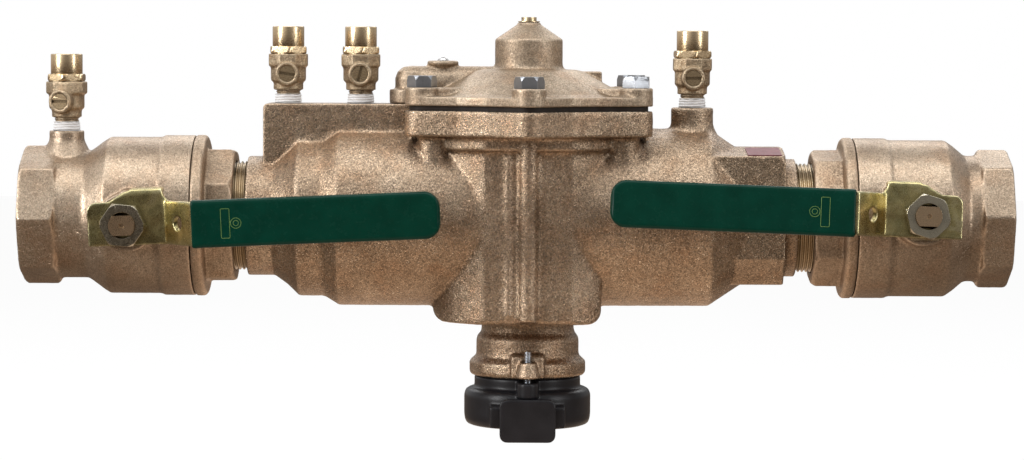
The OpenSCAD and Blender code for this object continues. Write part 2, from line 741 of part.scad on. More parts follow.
module diaphragm() {
  color(rubber) at_centre() difference() {
    rod_z(flange_top + 0.01, diaphragm_top, diaphragm_r);
    rod_z(58, 64, relief_bore_r);
  }
}
module diaphragm_upper_plate() {
  color(zinc) at_centre() difference() {
    turned_z([[0, 62.05], [27, 62.05], [30, 63], [30, 64.6], [0, 64.6]]);
    rod_z(60, 66, relief_bore_r);
  }
}
module diaphragm_lower_plate() {
  color(plastic) at_centre() difference() {
    turned_z([[0, 56], [34, 56], [34, 58.6], [33.2, 59.35], [0, 59.35]]);
    rod_z(50, 62, relief_bore_r);
  }
}
// Stem with the collar below the lower plate
module relief_stem() {
  color(zinc) at_centre() union() {
    rod_z(-36.4, 86, relief_stem_r);
    rod_z(52.6, 55.95, 7);
  }
}
module relief_stem_nut() {
  color(zinc) at_centre() difference() {
    translate([0, 0, 64.65]) cylinder(h = 6.5, r = 7.5, $fn = 6);
    rod_z(60, 72, relief_bore_r);
  }
}
module relief_spring() {
  color(zinc) at_centre() translate([0, 0, 36.1])
    coil(radius = relief_coil_r, wire_r = 1.3, height = 19.8, turns = 3.5);
}
// Guide: rim, hub and spring plate joined by six spokes
module relief_guide() {
  color(plastic) at_centre() difference() {
    union() {
      difference() {
        rod_z(30.1, 36, 43.9);
        rod_z(29, 37, 38.5);
      }
      rod_z(26, 36, 9);
      rod_z(33, 36, 20);
      for (a = [0:60:300]) rotate([0, 0, a]) translate([8, -2.5, 31]) cube([32, 5, 5]);
    }
    rod_z(20, 40, relief_stem_r + 0.06);
    for (a = [30:60:330]) rotate([0, 0, a]) translate([14.5, 0, 28]) cylinder(h = 10, r = 3.2);
  }
}
module relief_disc_holder() {
  color(zinc) at_centre() difference() {
    turned_z(disc_holder_profile);
    rod_z(-36.5, -20, relief_stem_r + 0.04);
    rod_z(-41, -37.4, relief_disc_r + 0.1);
  }
}
module relief_disc() { color(rubber) at_centre() rod_z(-41.45, -37.45, relief_disc_r); }
module relief_seat() {
  color(zinc) at_centre() difference() {
    union() {
      rod_z(-49.95, -43.5, 24.45);
      rod_z(-44, -41.5, 19);
    }
    rod_z(-51, -41, 17);
    // O-ring groove
    difference() {
      rod_z(relief_ring_z - 1.1, relief_ring_z + 1.1, 25);
      rod_z(-48, -45, 22.9);
    }
  }
}

// ---------------------------------------------------------------- check modules
// Local x = 0 at the seat's upstream face; the poppet opens towards +x
module_r = chamber_r - 0.1; // outside radius of seat and cage
seat_ring_x = 4; // O-ring of the seat
cage_start = 8.05;
cage_end = 45.95;
guide_r = 4.95; // poppet stems
cage_angles = [45, 135, 225, 315];

module check_seat() {
  difference() {
    union() {
      rod_x(0.05, 8, module_r);
      rod_x(7, 9.5, 26.5);
    }
    rod_x(-1, 10, seat_bore_r);
    // O-ring groove
    difference() {
      rod_x(seat_ring_x - 1.1, seat_ring_x + 1.1, 41);
      rod_x(2, 6, 37.9);
    }
  }
}
module check_cage() {
  difference() {
    union() {
      // upstream ring
      difference() {
        rod_x(cage_start, 11, module_r);
        rod_x(7, 12, 33);
      }
      // four bars
      for (a = cage_angles) intersection() {
        difference() {
          rod_x(cage_start, cage_end, module_r);
          rod_x(7, 47, 34);
        }
        rotate([a, 0, 0]) translate([8, 30, -6]) cube([40, 12, 12]);
      }
      // downstream ring, hub and spokes
      difference() {
        rod_x(42, cage_end, module_r);
        rod_x(41, 47, 34);
      }
      rod_x(38.5, cage_end, 16);
      for (a = cage_angles) rotate([a, 0, 0]) translate([41, 10, -3]) cube([4.9, 27, 6]);
    }
    rod_x(36, 48, guide_r + 0.1);
  }
}
// Poppet: plate, stems on both sides and the button that holds the disc
module check_poppet() {
  turned_x([[0, 13.55], [poppet_r, 13.55], [poppet_r, 17.5], [poppet_r - 1.4, 18.9],
    [9, 19.4], [0, 19.4]]);
  rod_x(7.5, 14, guide_r);
  rod_x(19, 48, guide_r);
  turned_x([[0, 7], [9, 7], [9, 9.45], [0, 9.45]]);
}
module check_disc() {
  difference() {
    rod_x(9.53, 13.5, 29);
    rod_x(9, 14, guide_r + 0.1);
  }
}
module check_spring() {
  translate([19.5, 0, 0]) rotate([0, 90, 0])
    coil(radius = check_coil_r, wire_r = 1.1, height = 18.9, turns = check_turns);
}
module check1_seat() { color(plastic) at_check(check1_x) check_seat(); }
module check1_cage() { color(plastic) at_check(check1_x) check_cage(); }
module check1_poppet() { color(plastic) at_check(check1_x) check_poppet(); }
module check1_disc() { color(rubber) at_check(check1_x) check_disc(); }
module check1_spring() { color(zinc) at_check(check1_x) check_spring(); }
module check2_seat() { color(plastic) at_check(check2_x) check_seat(); }
module check2_cage() { color(plastic) at_check(check2_x) check_cage(); }
module check2_poppet() { color(plastic) at_check(check2_x) check_poppet(); }
module check2_disc() { color(rubber) at_check(check2_x) check_disc(); }
module check2_spring() { color(zinc) at_check(check2_x) check_spring(); }

// A flat ring with one gap
module snap_ring(start) {
  difference() {
    rod_x(start, start + 2, 41.3);
    rod_x(start - 1, start + 3, 36.5);
    rotate([40, 0, 0]) translate([start - 1, 20, -4]) cube([4, 30, 8]);
  }
}
module retaining_rings() {
  color(zinc) at_centre() {
    snap_ring(snap_ring1_x);
    snap_ring(snap_ring2_x);
  }
}
// O-rings of check seats, relief seat, sensing passage and cocks, and the outlet gasket
module static_o_rings() {
  color(rubber) {
    for (x = [check1_x, check2_x])
      translate([body_cx + x + seat_ring_x, 0, 0]) rotate([0, 90, 0]) torus(38.65, 0.7);
    at_centre() translate([0, 0, relief_ring_z]) torus(23.65, 0.7);
    at_centre() translate([sensing_x, 0, 63.25]) torus(5.85, 0.78);
    for (i = [0:3]) at_cock(i) translate([0, -7.9, core_z]) rotate([90, 0, 0]) torus(3.7, 0.6);
    at_centre() difference() {
      rod_z(-87.95, -87.45, 28.5);
      rod_z(-89, -87, 23);
    }
  }
}

// ---------------------------------------------------------------- discharge ring and label
// [radius, z]
ring_profile = [[0, -115.4], [31, -115.4], [33.8, -114.4], [ring_r - 0.3, -112], [ring_r, -109],
  [ring_r, -98.5], [ring_r - 0.9, -96], [ring_r - 2.8, -94.8], [29.4, -94.4], [29.4, -88],
  [0, -88]];

module discharge_ring() {
  color(black) at_centre() difference() {
    union() {
      turned_z(ring_profile);
      // screw ears
      at_ring_screws(-96.9) cylinder(h = 8.5, r = 5.7);
      for (side = [-1, 1])
        translate([-5.7, min(side * 28, side * ring_screw_y), -96.9]) cube([11.4, 13, 8.5]);
      // block behind the sensor cover
      translate([-20.5, -41, -113.4]) cube([41, 22, 11.4]);
    }
    rod_z(-118, -91, 26);
    rod_z(-92, -87, 23);
    at_ring_screws(-96.2) cylinder(h = 9, r = 2.05);
    translate([-12.1, -42, -112.1]) cube([24.2, 8.05, 8.2]);
  }
}
// Rounded front plate with a plug at its rear
module sensor_cover() {
  corner_x = 11.2;
  corner_z = [-116.3, -101];
  corner_r = 4;
  height = corner_z[1] - corner_z[0];
  color(black) at_centre() {
    plate_front(-41.05, 8) union() {
      translate([-corner_x - corner_r, corner_z[0]]) square([2 * (corner_x + corner_r), height]);
      translate([-corner_x, corner_z[0] - corner_r]) square([2 * corner_x, height + 2 * corner_r]);
      for (x = [-corner_x, corner_x]) for (z = corner_z) translate([x, z]) circle(r = corner_r);
    }
    translate([-12, -42, -112]) cube([24, 8, 8]);
  }
}
module ring_screws() { color(zinc) at_centre() at_ring_screws(0) rod_z(-96, -71.5, 2); }
// Label on the front slope of the outlet block
module id_label() {
  slope = atan2(block_top - block_shoulder_z, block_hw - block_crown_hw);
  color(maroon) at_centre() translate([119.2, -block_hw, block_shoulder_z])
    rotate([slope, 0, 0]) translate([0, 1.6, 0.04]) cube([18.5, 23.5, 0.4]);
}

main_body();
inlet_nipple();
outlet_nipple();
inlet_valve_body();
inlet_valve_retainer();
inlet_ball();
inlet_stem();
inlet_lever();
inlet_grip();
inlet_lever_nut();
outlet_valve_body();
outlet_valve_retainer();
outlet_ball();
outlet_stem();
outlet_lever();
outlet_grip();
outlet_lever_nut();
ball_seats();
stem_packings();
packing_glands();
testcock_1_body();
testcock_2_body();
testcock_3_body();
testcock_4_body();
testcock_1_core();
testcock_2_core();
testcock_3_core();
testcock_4_core();
testcock_end_pieces();
thread_tapes();
relief_cover();
cover_bolts();
bonnet_screw();
bleed_screw();
diaphragm();
diaphragm_upper_plate();
diaphragm_lower_plate();
relief_stem();
relief_stem_nut();
relief_spring();
relief_guide();
relief_disc_holder();
relief_disc();
relief_seat();
check1_seat();
check1_cage();
check1_poppet();
check1_disc();
check1_spring();
check2_seat();
check2_cage();
check2_poppet();
check2_disc();
check2_spring();
retaining_rings();
static_o_rings();
discharge_ring();
sensor_cover();
ring_screws();
id_label();
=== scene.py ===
"""Bronze valve assembly: a cast body with two check valves and a relief valve, between an
inlet and an outlet ball valve, with four test cocks on top and a ring at the discharge port.

The flow axis lies along X at y = z = 0, +Z is up and the front faces -Y. The pieces are
worked out in millimetres; stage, lights and camera are in metres.
"""
import json
import math

import bmesh
import bpy
import numpy as np
from mathutils import Matrix, Quaternion, Vector


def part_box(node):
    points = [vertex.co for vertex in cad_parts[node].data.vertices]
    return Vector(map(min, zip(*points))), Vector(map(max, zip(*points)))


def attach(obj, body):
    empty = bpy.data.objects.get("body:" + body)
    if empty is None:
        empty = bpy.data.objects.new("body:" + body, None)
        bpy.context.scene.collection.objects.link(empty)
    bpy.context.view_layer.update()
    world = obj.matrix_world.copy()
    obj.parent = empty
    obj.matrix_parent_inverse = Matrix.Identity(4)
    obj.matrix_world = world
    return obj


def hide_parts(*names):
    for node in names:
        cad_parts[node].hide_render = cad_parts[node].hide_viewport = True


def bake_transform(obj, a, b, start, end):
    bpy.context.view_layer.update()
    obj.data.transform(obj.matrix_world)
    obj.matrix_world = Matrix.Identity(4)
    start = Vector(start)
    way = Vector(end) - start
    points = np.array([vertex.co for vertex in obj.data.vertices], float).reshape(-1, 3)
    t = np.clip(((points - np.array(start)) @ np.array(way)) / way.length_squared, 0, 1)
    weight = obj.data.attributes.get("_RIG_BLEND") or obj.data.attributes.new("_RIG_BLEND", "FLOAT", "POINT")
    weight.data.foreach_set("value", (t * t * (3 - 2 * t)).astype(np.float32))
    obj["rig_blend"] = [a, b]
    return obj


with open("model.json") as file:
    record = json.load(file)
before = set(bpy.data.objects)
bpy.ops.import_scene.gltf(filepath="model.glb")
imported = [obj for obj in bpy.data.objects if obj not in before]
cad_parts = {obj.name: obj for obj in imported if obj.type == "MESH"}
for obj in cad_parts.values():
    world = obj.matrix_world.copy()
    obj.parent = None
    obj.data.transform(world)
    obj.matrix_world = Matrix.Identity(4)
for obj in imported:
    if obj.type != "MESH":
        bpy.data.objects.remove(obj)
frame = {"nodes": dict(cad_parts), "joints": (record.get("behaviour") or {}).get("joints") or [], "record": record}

MM = 0.001                      # metres in a millimetre
WELD_DIST = 2e-6                # metres
ROOT = "valve_assembly"
NODES = frame["nodes"]
MOUNT_POS = {m["name"]: m["pos_m"] for m in frame["record"]["mounts"]}
JOINTS = {j["name"]: j for j in frame["joints"]}
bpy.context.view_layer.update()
scene = bpy.context.scene
rng = np.random.default_rng(7)

# ---------------------------------------------------------------- driving places
CX = MOUNT_POS["discharge_port"][0] * 1000.0        # x of the discharge and relief axis
TAGS = ("inlet", "outlet")
LEVER_TURN = {tag: JOINTS[tag + "_lever_turn"] for tag in TAGS}
STEM_X = {tag: LEVER_TURN[tag]["pos_m"][0] * 1000.0 for tag in TAGS}
ROLL = {tag: math.atan2(LEVER_TURN[tag]["axis"][2], LEVER_TURN[tag]["axis"][1]) for tag in TAGS}
TILT = {"inlet": math.radians(2.5), "outlet": math.radians(2.1)}
LEVER_DIR = {"inlet": 1, "outlet": -1}              # which way along x a lever points

COCK_HEIGHT = 42.4                                  # land to top of the end piece
COCK_PORT_DEPTH = 6                                 # port below that top
COCK_PITCH = 1.411                                  # thread pitch
COCK_PORTS = [MOUNT_POS["testcock_%d_port" % (i + 1)] for i in range(4)]
# x of each cock's axis and z of the land it stands on
COCKS = [(p[0] * 1000, p[2] * 1000 + COCK_PORT_DEPTH - COCK_HEIGHT) for p in COCK_PORTS]


# ---------------------------------------------------------------- surfaces: (verts, faces) in mm
def link(mesh, name):
    o = bpy.data.objects.new(name, mesh)
    scene.collection.objects.link(o)
    return o

def shade_smooth(mesh):
    mesh.polygons.foreach_set("use_smooth", [True] * len(mesh.polygons))

def mesh_from(surface, name):
    verts, faces = surface
    mesh = bpy.data.meshes.new(name)
    mesh.from_pydata([tuple(v) for v in (np.asarray(verts, float) * MM)], [],
                     [tuple(int(i) for i in f) for f in faces])
    mesh.validate()
    mesh.update()
    bm = bmesh.new()
    bm.from_mesh(mesh)
    bmesh.ops.recalc_face_normals(bm, faces=bm.faces)
    bm.to_mesh(mesh)
    bm.free()
    shade_smooth(mesh)
    return link(mesh, name)

def joined(surfaces):
    all_verts, all_faces, offset = [], [], 0
    for verts, faces in surfaces:
        all_verts.append(np.asarray(verts, float))
        all_faces += [tuple(i + offset for i in face) for face in faces]
        offset += len(verts)
    return np.concatenate(all_verts), all_faces

def shifted(surface, offset):
    return surface[0] + np.array(offset, float), surface[1]

def grid(points, wrap_u=False, wrap_v=True, caps=False):
    """Quads between the rows of a (rows, columns, 3) array; caps close both end rows."""
    nu, nv = points.shape[:2]
    faces = []
    for i in range(nu if wrap_u else nu - 1):
        this, following = i * nv, (i + 1) % nu * nv
        for j in range(nv if wrap_v else nv - 1):
            k = (j + 1) % nv
            faces.append((this + j, this + k, following + k, following + j))
    if caps:
        faces.append(tuple(range(nv - 1, -1, -1)))
        faces.append(tuple((nu - 1) * nv + j for j in range(nv)))
    return points.reshape(-1, 3), faces

def fillet(points, radii, segments):
    """Rounds the corners of a closed 2D outline, with one radius or one per point."""
    count = len(points)
    if not hasattr(radii, "__len__"):
        radii = [radii] * count
    rounded = []
    for i in range(count):
        corner = np.array(points[i], float)
        if radii[i] <= 0:
            rounded.append(tuple(corner))
            continue
        before = np.array(points[i - 1], float) - corner
        after = np.array(points[(i + 1) % count], float) - corner
        len_before, len_after = np.linalg.norm(before), np.linalg.norm(after)
        before /= len_before
        after /= len_after
        half = math.acos(float(before @ after)) / 2
        reach = min(radii[i] / math.tan(half), len_before * 0.49, len_after * 0.49)
        radius = reach * math.tan(half)
        toward = (before + after) / np.linalg.norm(before + after)
        centre = corner + toward * (radius / math.sin(half))
        start, end = corner + before * reach - centre, corner + after * reach - centre
        angle0, angle1 = math.atan2(start[1], start[0]), math.atan2(end[1], end[0])
        sweep = (angle1 - angle0 + math.pi) % (2 * math.pi) - math.pi
        for k in range(segments + 1):
            angle = angle0 + sweep * k / segments
            rounded.append((centre[0] + radius * math.cos(angle),
                            centre[1] + radius * math.sin(angle)))
    return rounded

def lathe(profile, segments):
    """Revolves a closed outline of (radius, height) points about z."""
    angles = [2 * math.pi * k / segments for k in range(segments)]
    return grid(np.array([[(r * math.cos(a), r * math.sin(a), z) for a in angles]
                          for r, z in profile]), wrap_u=True)

def full_turn(count):
    return np.linspace(0, 2 * math.pi, count, endpoint=False)

def along_x(surface):
    """Turns a surface built along +z to lie along +x."""
    verts, faces = surface
    return np.stack([verts[:, 2], verts[:, 1], -verts[:, 0]], 1), faces


# ---------------------------------------------------------------- reshaping of CAD copies
def get_co(mesh):
    co = np.zeros(len(mesh.vertices) * 3)
    mesh.vertices.foreach_get("co", co)
    return co.reshape(-1, 3) * 1000.0

def set_co(mesh, co):
    mesh.vertices.foreach_set("co", (co * MM).astype(np.float32).ravel())
    mesh.update()

def vert_normals(mesh):
    normals = np.zeros(len(mesh.vertices) * 3)
    mesh.vertices.foreach_get("normal", normals)
    return normals.reshape(-1, 3)

def remeshed_copy(node, name, voxel_mm):
    """A welded copy of a CAD node's mesh, rebuilt in voxels."""
    bm = bmesh.new()
    bm.from_mesh(NODES[node].data)
    bmesh.ops.remove_doubles(bm, verts=bm.verts, dist=WELD_DIST)
    welded = bpy.data.meshes.new(name)
    bm.to_mesh(welded)
    bm.free()
    welded.materials.clear()
    o = link(welded, name)
    remesh = o.modifiers.new("r", "REMESH")
    remesh.mode = "VOXEL"
    remesh.voxel_size = voxel_mm * 1 * MM
    remesh.adaptivity = 0.0
    depsgraph = bpy.context.evaluated_depsgraph_get()
    rebuilt = bpy.data.meshes.new_from_object(o.evaluated_get(depsgraph))
    o.modifiers.clear()
    rebuilt.name = o.name
    o.data = rebuilt
    bpy.data.meshes.remove(welded)
    shade_smooth(rebuilt)
    return o

def passes(quick, full):
    return full

def neighbour_pull(mesh):
    """Returns a function giving each vertex's move halfway to its neighbours' mean."""
    count = len(mesh.vertices)
    edges = np.zeros(len(mesh.edges) * 2, np.int64)
    mesh.edges.foreach_get("vertices", edges)
    a, b = edges.reshape(-1, 2).T
    degree = np.maximum(np.bincount(edges, minlength=count), 1)[:, None]
    def pull(co):
        total = np.stack([np.bincount(a, co[b, k], count) + np.bincount(b, co[a, k], count)
                          for k in range(3)], 1)
        return (total / degree - co) * 0.5
    return pull

def relax(o, iters, weight=None):
    co = get_co(o.data)
    pull = neighbour_pull(o.data)
    share = 1.0 if weight is None else np.clip(weight(co), 0, 1)[:, None]
    for _ in range(iters):
        co = co + pull(co) * share
    set_co(o.data, co)

def cast_soften(o, iters, weight, convex):
    """Fills inside corners; outside edges move only by the convex share."""
    co = get_co(o.data)
    pull = neighbour_pull(o.data)
    share = np.clip(weight(co), 0, 1)
    for _ in range(iters):
        move = pull(co)
        outward = np.einsum("ij,ij->i", move, vert_normals(o.data))
        co = co + move * (np.where(outward > 0, 1.0, convex) * share)[:, None]
        set_co(o.data, co)

def value_noise(points, scale, seed):
    """Smooth value noise in -1..1 with features of the given size in mm."""
    place = points / scale + seed * 17.31
    cell = np.floor(place).astype(np.int64)
    blend = place - cell
    blend = blend * blend * (3 - 2 * blend)
    def lattice(a, b, c):
        x = (a * 73856093) ^ (b * 19349663) ^ (c * 83492791) ^ (seed * 2654435761)
        x = (x ^ (x >> 13)) * 1274126177 & 0x7fffffff
        return ((x ^ (x >> 16)) & 0xffff) / 32767.5 - 1.0
    total = 0
    for corner in np.ndindex(2, 2, 2):
        wx, wy, wz = (blend[:, k] if corner[k] else 1 - blend[:, k] for k in range(3))
        total = total + wx * wy * wz * lattice(*(cell[:, k] + corner[k] for k in range(3)))
    return total

def roughen(o, amp, scale, seed, weight):
    """Uneven cast skin: moves vertices along their normals by smooth noise."""
    co = get_co(o.data)
    coarse = value_noise(co, scale, seed)
    fine = value_noise(co, scale * 0.45, seed + 3)
    height = amp * (0.6 * coarse + 0.4 * fine) * np.clip(weight(co), 0, 1)
    set_co(o.data, co + vert_normals(o.data) * height[:, None])

def smooth_angle(o, degrees):
    shade_smooth(o.data)
    o.data.set_sharp_from_angle(angle=math.radians(degrees))

def step(value, low, high):
    """0 below low, 1 above high, smooth between."""
    t = np.clip((value - low) / (high - low), 0, 1)
    return t * t * (3 - 2 * t)

def flow_radius(pts):
    """Distance from the flow axis."""
    return np.hypot(pts[:, 1], pts[:, 2])

def upright_radius(pts, x):
    """Distance from the vertical axis through x."""
    return np.hypot(pts[:, 0] - x, pts[:, 1])


# ---------------------------------------------------------------- shader nodes
def feed(tree, socket, value):
    """Links a socket, or sets a value; colours are given without alpha."""
    if isinstance(value, bpy.types.NodeSocket):
        tree.links.new(value, socket)
    elif socket.type == "RGBA":
        socket.default_value = (*value, 1)
    else:
        socket.default_value = value

def add_node(tree, kind, inputs=None, **settings):
    """Adds a shader node and returns its outputs."""
    node = tree.nodes.new("ShaderNode" + kind)
    for key, value in settings.items():
        setattr(node, key, value)
    for key, value in (inputs or {}).items():
        feed(tree, node.inputs[key], value)
    return node.outputs

def map_range(tree, value, span, to=(0, 1), **settings):
    inputs = {0: value, 1: span[0], 2: span[1], 3: to[0], 4: to[1]}
    return add_node(tree, "MapRange", inputs, **settings)[0]

def color_ramp(tree, factor, stops):
    """Stops are (position, colour)."""
    node = tree.nodes.new("ShaderNodeValToRGB")
    elements = node.color_ramp.elements
    while len(elements) < len(stops):
        elements.new(0.5)
    for element, (position, color) in zip(elements, stops):
        element.position = position
        element.color = (*color, 1)
    tree.links.new(factor, node.inputs[0])
    return node.outputs[0]

class Mat:
    """A material whose textures are sized in millimetres of object space."""
    SOCKETS = {"color": "Base Color", "metal": "Metallic", "rough": "Roughness",
               "normal": "Normal", "spec": "Specular IOR Level", "coat": "Coat Weight",
               "coat_rough": "Coat Roughness"}

    def __init__(self, name):
        self.material = bpy.data.materials.new(name)
        self.material.use_nodes = True
        self.tree = self.material.node_tree
        coords = self.add("TexCoord")["Object"]
        self.point = self.add("VectorMath", {0: coords, "Scale": 1000.0}, operation="SCALE")[0]

    def add(self, kind, inputs=None, **settings):
        return add_node(self.tree, kind, inputs, **settings)

    def noise(self, size, detail=2, rough=0.5, off=(0, 0, 0), stretch=None, distort=0.0):
        where = self.point
        if stretch or off != (0, 0, 0):
            where = self.add("Mapping", {0: where, "Location": off,
                                         "Scale": stretch or (1, 1, 1)})[0]
        return self.add("TexNoise", {"Vector": where, "Scale": 1.0 / size, "Detail": detail,
                                     "Roughness": rough, "Distortion": distort})["Fac"]

    def cells(self, size):
        """Three random values for each cell."""
        color = self.add("TexVoronoi", {"Vector": self.point, "Scale": 1.0 / size})["Color"]
        return self.add("SeparateColor", {0: color})

    def math(self, operation, a, b, clamp=False):
        return self.add("Math", {0: a, 1: b}, operation=operation, use_clamp=clamp)[0]

    def blend(self, a, share_a, b, share_b):
        return self.math("ADD", self.math("MULTIPLY", a, share_a),
                         self.math("MULTIPLY", b, share_b))

    def remap(self, value, span=(0.3, 0.7), to=(0, 1)):
        """Maps a span, by default where most noise lies, to a new range."""
        return map_range(self.tree, value, span, to)

    def mix(self, factor, a, b, mode="MIX"):
        return self.add("Mix", {0: factor, 6: a, 7: b}, data_type="RGBA", blend_type=mode)[2]

    def times(self, color, factor):
        return self.mix(1.0, color, factor, "MULTIPLY")

    def painted_crevice_shade(self, color, reach, span, to):
        """Painted shade: darkens a colour by ambient occlusion, where surfaces lie within reach of each other."""
        open_share = self.add("AmbientOcclusion", {"Distance": reach * MM}, samples=6)["AO"]
        return self.times(color, self.remap(open_share, span, to))

    def edges(self, color, light, span, strength):
        """Painted highlight: lightens outside edges where the mesh is pointy."""
        pointiness = self.add("NewGeometry")["Pointiness"]
        return self.mix(self.remap(pointiness, span, (0, strength)), color, light)

    def bump(self, height, strength, dist, under=None):
        inputs = {"Strength": strength, "Distance": dist * MM, "Height": height}
        if under is not None:
            inputs["Normal"] = under
        return self.add("Bump", inputs)[0]

    def set(self, **values):
        shader = self.tree.nodes["Principled BSDF"]
        for key, value in values.items():
            feed(self.tree, shader.inputs[self.SOCKETS[key]], value)
        return self.material


# ---------------------------------------------------------------- materials
def cast_bronze(name, dark, mid, light, rough, grain, bump, sparkle, speck, metal=0.9, blotch=22):
    """Sand-cast metal; grain and blotch are sizes in mm, speck and sparkle strengths."""
    m = Mat(name)
    sand = m.noise(grain, detail=3, rough=0.62)
    fine = m.noise(grain * 0.42, rough=0.6, off=(31, 7, 3))
    large = m.noise(blotch, detail=3, rough=0.55, off=(3, 11, 5))
    grains = m.cells(grain * 0.70)
    tone = m.blend(m.remap(m.blend(sand, 0.62, fine, 0.38)), 0.55, m.remap(large), 0.38)
    color = color_ramp(m.tree, tone, [(0.08, dark), (0.48, mid), (0.92, light)])
    # reddish patches, dark pits, then single sand grains, some dark and some bright
    red = m.remap(m.noise(blotch * 0.55, off=(50, 3, 9)), span=(0.48, 0.72), to=(0.0, 0.32))
    color = m.mix(red, color, (mid[0] * 0.92, mid[1] * 0.66, mid[2] * 0.48))
    color = m.times(color, m.remap(fine, span=(0.28, 0.40), to=(0.70, 1.0)))
    color = m.times(color, m.remap(grains[2], span=(0, 1), to=(1 - speck, 1 + speck * 0.9)))
    # painted highlight along outside edges
    color = m.edges(color, light, span=(0.49, 0.56), strength=0.45)
    # painted shade in corners, creases and between nearby surfaces, at short and long reach
    color = m.painted_crevice_shade(color, reach=4, span=(0.30, 0.85), to=(0.62, 1.0))
    color = m.painted_crevice_shade(color, reach=16, span=(0.35, 0.88), to=(0.66, 1.0))
    glint = m.remap(grains[0], span=(1.0 - 0.32 * sparkle, 1.0))
    matt = m.math("ADD", m.remap(sand, to=(rough + 0.12, rough - 0.08)), 0.0)
    matt = m.math("SUBTRACT", matt, m.math("MULTIPLY", glint, 0.16), clamp=True)
    height = m.blend(sand, 0.7, fine, 0.3)
    height = m.math("ADD", height, m.math("MULTIPLY", grains[1], 0.42))
    normal = m.bump(m.noise(7.0, off=(9, 9, 1)), strength=0.35, dist=0.6)
    normal = m.bump(height, strength=1.0, dist=bump, under=normal)
    return m.set(color=color, metal=metal, rough=matt, normal=normal)

def machined(name, base, rough, axis=None, line=0.35, tarnish=0.25, dark=0.55):
    """Turned or plated metal; line is the tool mark size, squeezed along an axis if given."""
    m = Mat(name)
    stretch = {None: (1, 1, 1), "x": (3, .25, .25), "z": (.25, .25, 3)}[axis]
    lines = m.noise(line, rough=0.6, stretch=stretch)
    large = m.noise(9, detail=3, rough=0.6, off=(2, 5, 1))
    spots = m.noise(0.8, rough=0.6, off=(4, 1, 8))
    color = m.mix(m.remap(large, span=(0.35, 0.7), to=(0, tarnish)),
                  base, tuple(c * dark for c in base))
    color = m.mix(m.remap(spots, span=(0.55, 0.75), to=(0, 0.25)),
                  color, tuple(c * 0.72 for c in base))
    # painted shade in corners and recesses
    color = m.painted_crevice_shade(color, reach=2.5, span=(0.3, 0.95), to=(0.45, 1.0))
    matt = m.math("ADD", m.remap(lines, to=(rough - 0.07, rough + 0.08)),
                  m.remap(large, to=(-0.03, 0.06)))
    normal = m.bump(lines, strength=0.6, dist=0.035)
    normal = m.bump(spots, strength=0.15, dist=0.03, under=normal)
    return m.set(color=color, metal=1.0, rough=matt, normal=normal)

def yellow_zinc():
    m = Mat("yellow_zinc_plate")
    swirl = m.noise(12, distort=0.6)
    fine = m.noise(0.55, rough=0.65, off=(5, 2, 9))
    cloud = m.noise(14, off=(1, 8, 2))
    color = color_ramp(m.tree, m.blend(swirl, 0.65, cloud, 0.35), [
        (0.30, (0.22, 0.185, 0.080)), (0.45, (0.38, 0.33, 0.145)), (0.56, (0.54, 0.45, 0.20)),
        (0.66, (0.66, 0.58, 0.33)), (0.78, (0.46, 0.33, 0.17))])
    color = m.mix(m.remap(fine, span=(0.45, 0.75), to=(0, 0.35)), color, (0.72, 0.70, 0.48))
    # painted highlight along outside edges
    color = m.edges(color, (0.80, 0.78, 0.58), span=(0.50, 0.60), strength=0.6)
    # painted shade in corners and recesses
    color = m.painted_crevice_shade(color, reach=3, span=(0.3, 0.95), to=(0.5, 1.0))
    normal = m.bump(m.noise(9.0, detail=1, rough=0.4, off=(4, 4, 2)), strength=1.0, dist=0.6)
    normal = m.bump(m.noise(1.2, detail=3, rough=0.6), strength=0.5, dist=0.06, under=normal)
    return m.set(color=color, metal=1.0, rough=m.remap(fine, to=(0.22, 0.36)), normal=normal)

def vinyl():
    m = Mat("green_vinyl_dip")
    cloud = m.noise(11, detail=3)
    fine = m.noise(0.5, rough=0.6, off=(3, 1, 1))
    scuffs = m.noise(3.0, detail=3, rough=0.6, off=(8, 2, 2))
    color = m.mix(m.remap(cloud), (0.0008, 0.027, 0.017), (0.0012, 0.036, 0.023))
    color = m.mix(m.remap(scuffs, span=(0.70, 0.78), to=(0, 0.10)), color, (0.03, 0.14, 0.10))
    normal = m.bump(cloud, strength=0.5, dist=0.35)
    normal = m.bump(fine, strength=0.18, dist=0.03, under=normal)
    return m.set(color=color, metal=0.0, normal=normal, spec=0.12, coat=0.06, coat_rough=0.08,
                 rough=m.remap(scuffs, span=(0.3, 0.75), to=(0.19, 0.32)))

def plastic(name, dark, light, rough, fleck=0.0):
    m = Mat(name)
    cloud = m.noise(12, detail=3)
    fine = m.noise(0.4, detail=3, rough=0.6, off=(2, 2, 7))
    color = m.mix(m.remap(cloud), dark, light)
    if fleck > 0:
        flecks = m.noise(1.1, detail=3, rough=0.7, off=(6, 1, 4))
        color = m.mix(m.remap(flecks, span=(0.70, 0.80), to=(0, fleck)),
                      color, tuple(min(1, c * 6 + 0.12) for c in light))
    normal = m.bump(fine, strength=0.4, dist=0.03)
    normal = m.bump(cloud, strength=0.3, dist=0.25, under=normal)
    return m.set(color=color, rough=m.remap(fine, to=(rough - 0.06, rough + 0.07)),
                 normal=normal, spec=0.3)

def ptfe_tape():
    m = Mat("ptfe_tape")
    strands = m.noise(1.6, detail=3, rough=0.6, stretch=(0.5, 0.5, 3))
    cloud = m.noise(5)
    color = m.mix(m.remap(strands, span=(0.35, 0.7)), (0.74, 0.75, 0.77), (0.90, 0.90, 0.90))
    # painted shade in the thread grooves and folds of the tape
    color = m.painted_crevice_shade(color, reach=1.5, span=(0.3, 1.0), to=(0.6, 1.0))
    return m.set(color=color, rough=m.remap(cloud, to=(0.45, 0.6)),
                 normal=m.bump(strands, strength=0.8, dist=0.12))

